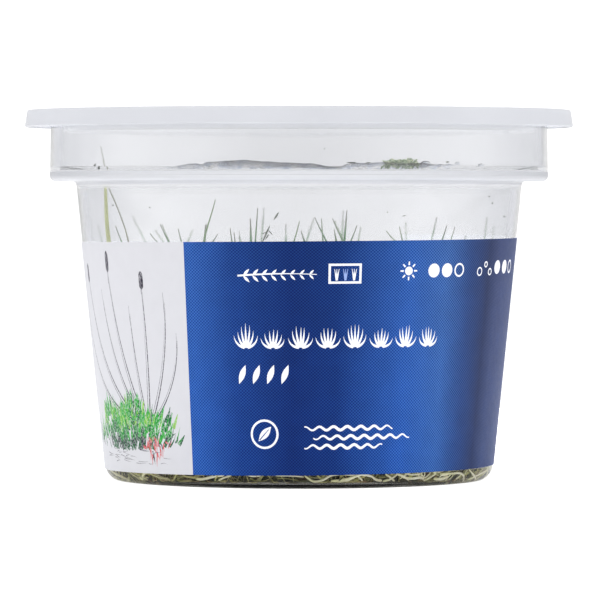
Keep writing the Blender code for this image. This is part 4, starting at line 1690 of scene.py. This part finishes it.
def front_runners(chance):
    """The runners that are seen in the strip under the label."""
    found = []
    for full_radius, *places in FRONT_RUNNERS_MM:
        radius = full_radius * FRONT_RUNNER_THINNESS
        thick = radius * MILLIMETRE
        lowest, wander = FLOOR_TOP + thick + 0.0001, 0.0002
        line = smooth_line([Vector((math.radians(turn), height * MILLIMETRE)) for turn, height in places], 5)
        points = []
        for index, (turn, height) in enumerate(line):
            depth = thick + wander + wander * math.sin(index * 0.5 + radius * 90.0)
            points.append(wall_point(turn, max(height, lowest), depth))
        radii = [thick * chance.uniform(0.86, 1.0) for _ in points]
        radii[0] *= 0.6
        radii[-1] *= 0.5
        shade = 0.25 * chance.random()
        found.append((points, radii, shade if places[0][0] > FRONT_RUNNER_TURNS[0] else 0.6 + shade))
    return found


def root(chance, low, high, fall, thickness=ROOT_THICKNESS):
    """A fine root: it starts at a height and bends down or sideways along the wall."""
    azimuth = chance.uniform(0.0, FULL_TURN)
    height = chance.uniform(low, high)
    radius = chance.uniform(*thickness)
    turn = chance.uniform(-0.9, 0.9) - math.pi * 0.5 * fall
    bend = chance.uniform(-0.16, 0.16)
    reach = chance.uniform(0.0025, 0.0070)
    rings = 10
    depth = chance.uniform(0.0002, 0.0014)
    lowest = FLOOR_TOP + radius + 0.0001
    points = []
    for _ in range(rings + 1):
        points.append(wall_point(azimuth, min(max(height, lowest), high), depth + radius))
        azimuth += math.cos(turn) * reach / rings / ROOT_TURN_RADIUS
        height += math.sin(turn) * reach / rings
        turn += bend
    return points, [radius * (1.0 - 0.6 * step / rings) for step in range(rings + 1)], chance.random()


def add_roots(thick, fine):
    """The thick pale runners and the fine roots. The strip under the label has runners of its own."""
    chance = random.Random(41)
    runners = front_runners(chance)
    for _ in range(RUNNERS):
        points, radii, shade = runner(chance)
        turns = [turn_degrees(point) for point in (points[0], points[-1])]
        if max(turns) < FRONT_RUNNER_TURNS[0] or min(turns) > FRONT_RUNNER_TURNS[1]:
            runners.append((points, radii, shade))
    link(strands_mesh("root_runners", runners, RUNNER_SIDES, thick), "root_mat")
    roots = [root(chance, 0.0015, 0.0048, chance.choice((0.0, 1.0, 2.0))) for _ in range(LOW_ROOTS)]
    roots += [root(chance, 0.0035, GEL_TOP - 0.0006, 1.0) for _ in range(HANGING_ROOTS)]
    for _ in range(OLD_LEAVES):
        points, radii, shade = root(chance, 0.0014, 0.0034, chance.choice((0.0, 2.0)), OLD_LEAF_THICKNESS)
        if not BARE_TURNS[0] < turn_degrees(points[0]) < BARE_TURNS[1]:
            roots.append((points, radii, shade))
    link(strands_mesh("root_strands", roots, ROOT_SIDES, fine), "root_mat")


# Water, scrap and specks on the ledge


def add_ledge_water(material):
    """A film of water on the ledge that climbs the collar in uneven lobes."""
    bottom = LEDGE_TOP + 0.00004
    inner = body_radius(LEDGE_TOP, -WALL) + 0.0007
    outer = COLLAR_RADIUS_LOW - COLLAR_WALL - 0.0001
    outline = (
        (inner, bottom),
        (outer - 0.0008, bottom),
        (outer - 0.00024, bottom + 0.00024),
        (outer, bottom + 0.0008),
        (outer, WATER_LEVEL),
        (outer - 0.0005, WATER_LEVEL - 0.0001),
        ((inner + outer) / 2.0, WATER_LEVEL - 0.0004),
        (inner + 0.0002, WATER_LEVEL - 0.0006),
    )
    mesh_tool = lathe(outline, steps=WATER_STEPS, closed=True)
    rise = mesh_tool.verts.layers.float.new("rise")
    upper_part = WATER_LEVEL - 0.0007
    edge_wave, fine_wave, broad_wave = 0.00015, 0.0006, 0.0009
    turns, heights = zip(*WATER_EDGE_MM)
    for corner in mesh_tool.verts:
        place = corner.co
        circle = Vector((place.x, place.y, 0.0)).normalized()
        broad = noise.noise(circle * 11.0 + Vector((5.7, 0.2, 3.0)))
        fine = noise.noise(circle * 34.0 + Vector((2.7, 4.2, 1.0)))
        climbs = place.z > upper_part
        corner[rise] = 1.0 if climbs else 0.0
        if climbs:
            climb = float(np.interp(turn_degrees(place), turns, heights)) * MILLIMETRE - WATER_LEVEL
            place.z += climb + edge_wave * fine
        if place.xy.length < outer - 0.0003:
            share = min(max((place.z - bottom) / (WATER_LEVEL - bottom), 0.0), 1.0)
            place.xy *= 1.0 - share * (fine_wave * fine + broad_wave * broad) / place.xy.length
    made = finish_mesh("ledge_water_film", mesh_tool, [material], smooth_degrees=60.0)
    link(made, "water", "ledge_water")


def add_drops(material):
    """Flat drops that hang on the collar's inner wall beside the water."""
    gap = 0.00006
    mesh_tool = bmesh.new()
    for azimuth, height, half_width, half_height in DROPS_MM:
        made = bmesh.ops.create_uvsphere(mesh_tool, u_segments=24, v_segments=14, radius=1.0)["verts"]
        turn = Matrix.Rotation(math.radians(azimuth), 4, "Z")
        level = height * MILLIMETRE
        reach = collar_radius(level) - COLLAR_WALL - DROP_DEPTH - gap
        size = Matrix.Diagonal((half_width * MILLIMETRE, DROP_DEPTH, half_height * MILLIMETRE, 1.0))
        place = turn @ Matrix.Translation((0.0, -reach, level)) @ size
        bmesh.ops.transform(mesh_tool, matrix=place, verts=made)
    link(finish_mesh("water_drops", mesh_tool, [material], smooth_degrees=60.0), "water")


def add_scrap(material):
    """A scrap of leaf with many small leaflets, lying on the water."""
    chance = random.Random(7)
    centre_radius = (body_radius(LEDGE_TOP, -WALL) + COLLAR_RADIUS_LOW - COLLAR_WALL) / 2.0
    azimuth = math.radians(FRAGMENT_AZIMUTH)
    middle = Vector((math.sin(azimuth), -math.cos(azimuth), 0.0)) * centre_radius
    across = level_way(azimuth)
    stem = []
    last = 10
    for step in range(last + 1):
        share = step / last
        rise = WATER_LEVEL + 0.0004 + 0.0003 * math.sin(share * 3.0)
        stem.append(middle + across * (share - 0.5) * SCRAP_LENGTH + Vector((0.0, 0.0, rise)))
    strands = [(stem, [0.00028 - 0.00018 * step / last for step in range(last + 1)], 0.4)]
    for _ in range(SCRAP_LEAFLETS):
        foot = stem[chance.randrange(0, last + 1)]
        sides = chance.uniform(-0.7, 0.7), chance.uniform(-0.6, 0.6), chance.uniform(-0.6, 1.0)
        way = Vector(sides).normalized()
        reach = chance.uniform(0.0007, 0.0015)
        sags = [Vector((0.0, 0.0, -0.00012 * step * step / 4.0)) for step in range(5)]
        points = [foot + way * reach * step / 4.0 + sag for step, sag in enumerate(sags)]
        strands.append((points, LEAFLET_RADII, chance.random()))
    link(strands_mesh("leaf_scrap_moss", strands, BLADE_SIDES, material), "leaf_scrap", "leaf_fragment")


def add_flecks(material):
    """Specks and shreds of leaf that stick to the inner wall."""
    strands = []
    for start, end, radius in FLECKS_MM:
        points = []
        for step in range(4):
            turn, level = Vector(start).lerp(Vector(end), step / 3.0)
            height = level * MILLIMETRE
            inner = collar_radius(height) - COLLAR_WALL if height > LEDGE_TOP else body_radius(height, -WALL)
            points.append(polar(math.radians(turn), inner - radius * MILLIMETRE - 0.00005, height))
        strands.append((points, [radius * MILLIMETRE * part for part in (0.4, 1.0, 0.9, 0.3)], 0.0))
    link(strands_mesh("wall_flecks", strands, BLADE_SIDES, material), "leaf_scrap")


# The whole object


def milky_plastic_painted_glow():
    """Milky plastic that light reaches from both sides, with painted light: a glow of its own."""
    material = milky_plastic("milky_plastic_painted_glow", MILKY_LIGHT, MILKY_DARK)
    return glow(material, (0.96, 0.97, 1.0, 1.0), 0.34)


def cup_materials():
    """In the order of the numbers of the cup's materials."""
    return [
        clear_plastic("cup_plastic", CLEAR_LIGHT, CLEAR_DARK, 0.05),
        shoulder_plastic(MILKY_LIGHT, MILKY_DARK),
        clear_plastic("hazy_plastic", CLEAR_LIGHT, CLEAR_DARK, 0.06, transmission=0.60, waviness=0.25),
        clear_plastic("wetted_plastic", grey(0.99), grey(0.97), 0.02, transmission=1.0, ior=WETTED_IOR),
        clear_plastic("foot_plastic", grey(0.99), grey(0.97), 0.02, transmission=1.0, ior=FOOT_IOR),
        fading_plastic(CLEAR_LIGHT, CLEAR_DARK),
        milky_plastic_painted_glow(),
        # Painted shadow: the near-black lowest edge of the foot
        clear_plastic("foot_painted_shadow", FOOT_SHADOW_LIGHT, FOOT_SHADOW_DARK, 0.15, transmission=0.3, ior=FOOT_IOR, waviness=0.1),
        under_water_plastic(CLEAR_LIGHT, CLEAR_DARK),
    ]


def lid_materials(skirt_inside):
    """In the order of the numbers of the lid's materials."""
    panel = clear_plastic(
        "lid_panel", CLEAR_LIGHT, CLEAR_DARK, 0.06, transmission=0.985, ior=THIN_SHEET_IOR, coat=1.0
    )
    flange = milky_plastic("lid_milky", (0.68, 0.69, 0.725, 1.0), (0.60, 0.61, 0.645, 1.0), waviness=0.3)
    plug_light, plug_dark = (0.34, 0.345, 0.36, 1.0), (0.30, 0.305, 0.32, 1.0)
    plug = clear_plastic("lid_plug", plug_light, plug_dark, 0.3, transmission=0.1)
    # The plug's glow is painted light
    return [panel, flange, glow(plug, (0.97, 0.98, 1.0, 1.0), 0.50), skirt_inside]


def gel_materials():
    """The wet top, and the gel that touches the plastic."""
    wet = (0.80, 0.82, 0.66, 1.0), (0.94, 0.95, 0.88, 1.0)
    touching = (0.95, 0.96, 0.90, 1.0), (0.99, 0.99, 0.97, 1.0)
    return [
        gel_material("gel", GEL_IOR, *wet, 0.00025),
        gel_material("gel_on_plastic", THIN_SHEET_IOR, *touching, 0.00005),
    ]


def drop_material():
    light, dark = (0.93, 0.94, 0.96, 1.0), (0.82, 0.84, 0.88, 1.0)
    return clear_plastic("water_drops", light, dark, 0.01, transmission=1.0, ior=WATER_IOR, waviness=0.3)


def build():
    """The studio first, then the cup, its lid and label, and what grows and lies inside."""
    add_camera()
    add_world()
    add_floor()
    cup = cup_materials()
    add_cup(cup)
    add_lid(lid_materials(cup[MILKY_PAINTED_GLOW]))
    add_label(label_materials())
    add_gel(gel_materials())
    add_root_mat(root_core_and_shade_material())
    add_roots(runner_material(), root_material())
    grass, old_grass = grass_material(), old_grass_material()
    chance = random.Random(29)
    add_tufts(grass, chance)
    add_long_tuft(old_grass, chance)
    add_front_blades(grass, chance)
    add_lawn(grass)
    add_stolons(old_grass)
    add_ledge_water(water_material())
    add_drops(drop_material())
    add_scrap(scrap_material())
    add_flecks(fleck_material())


build()
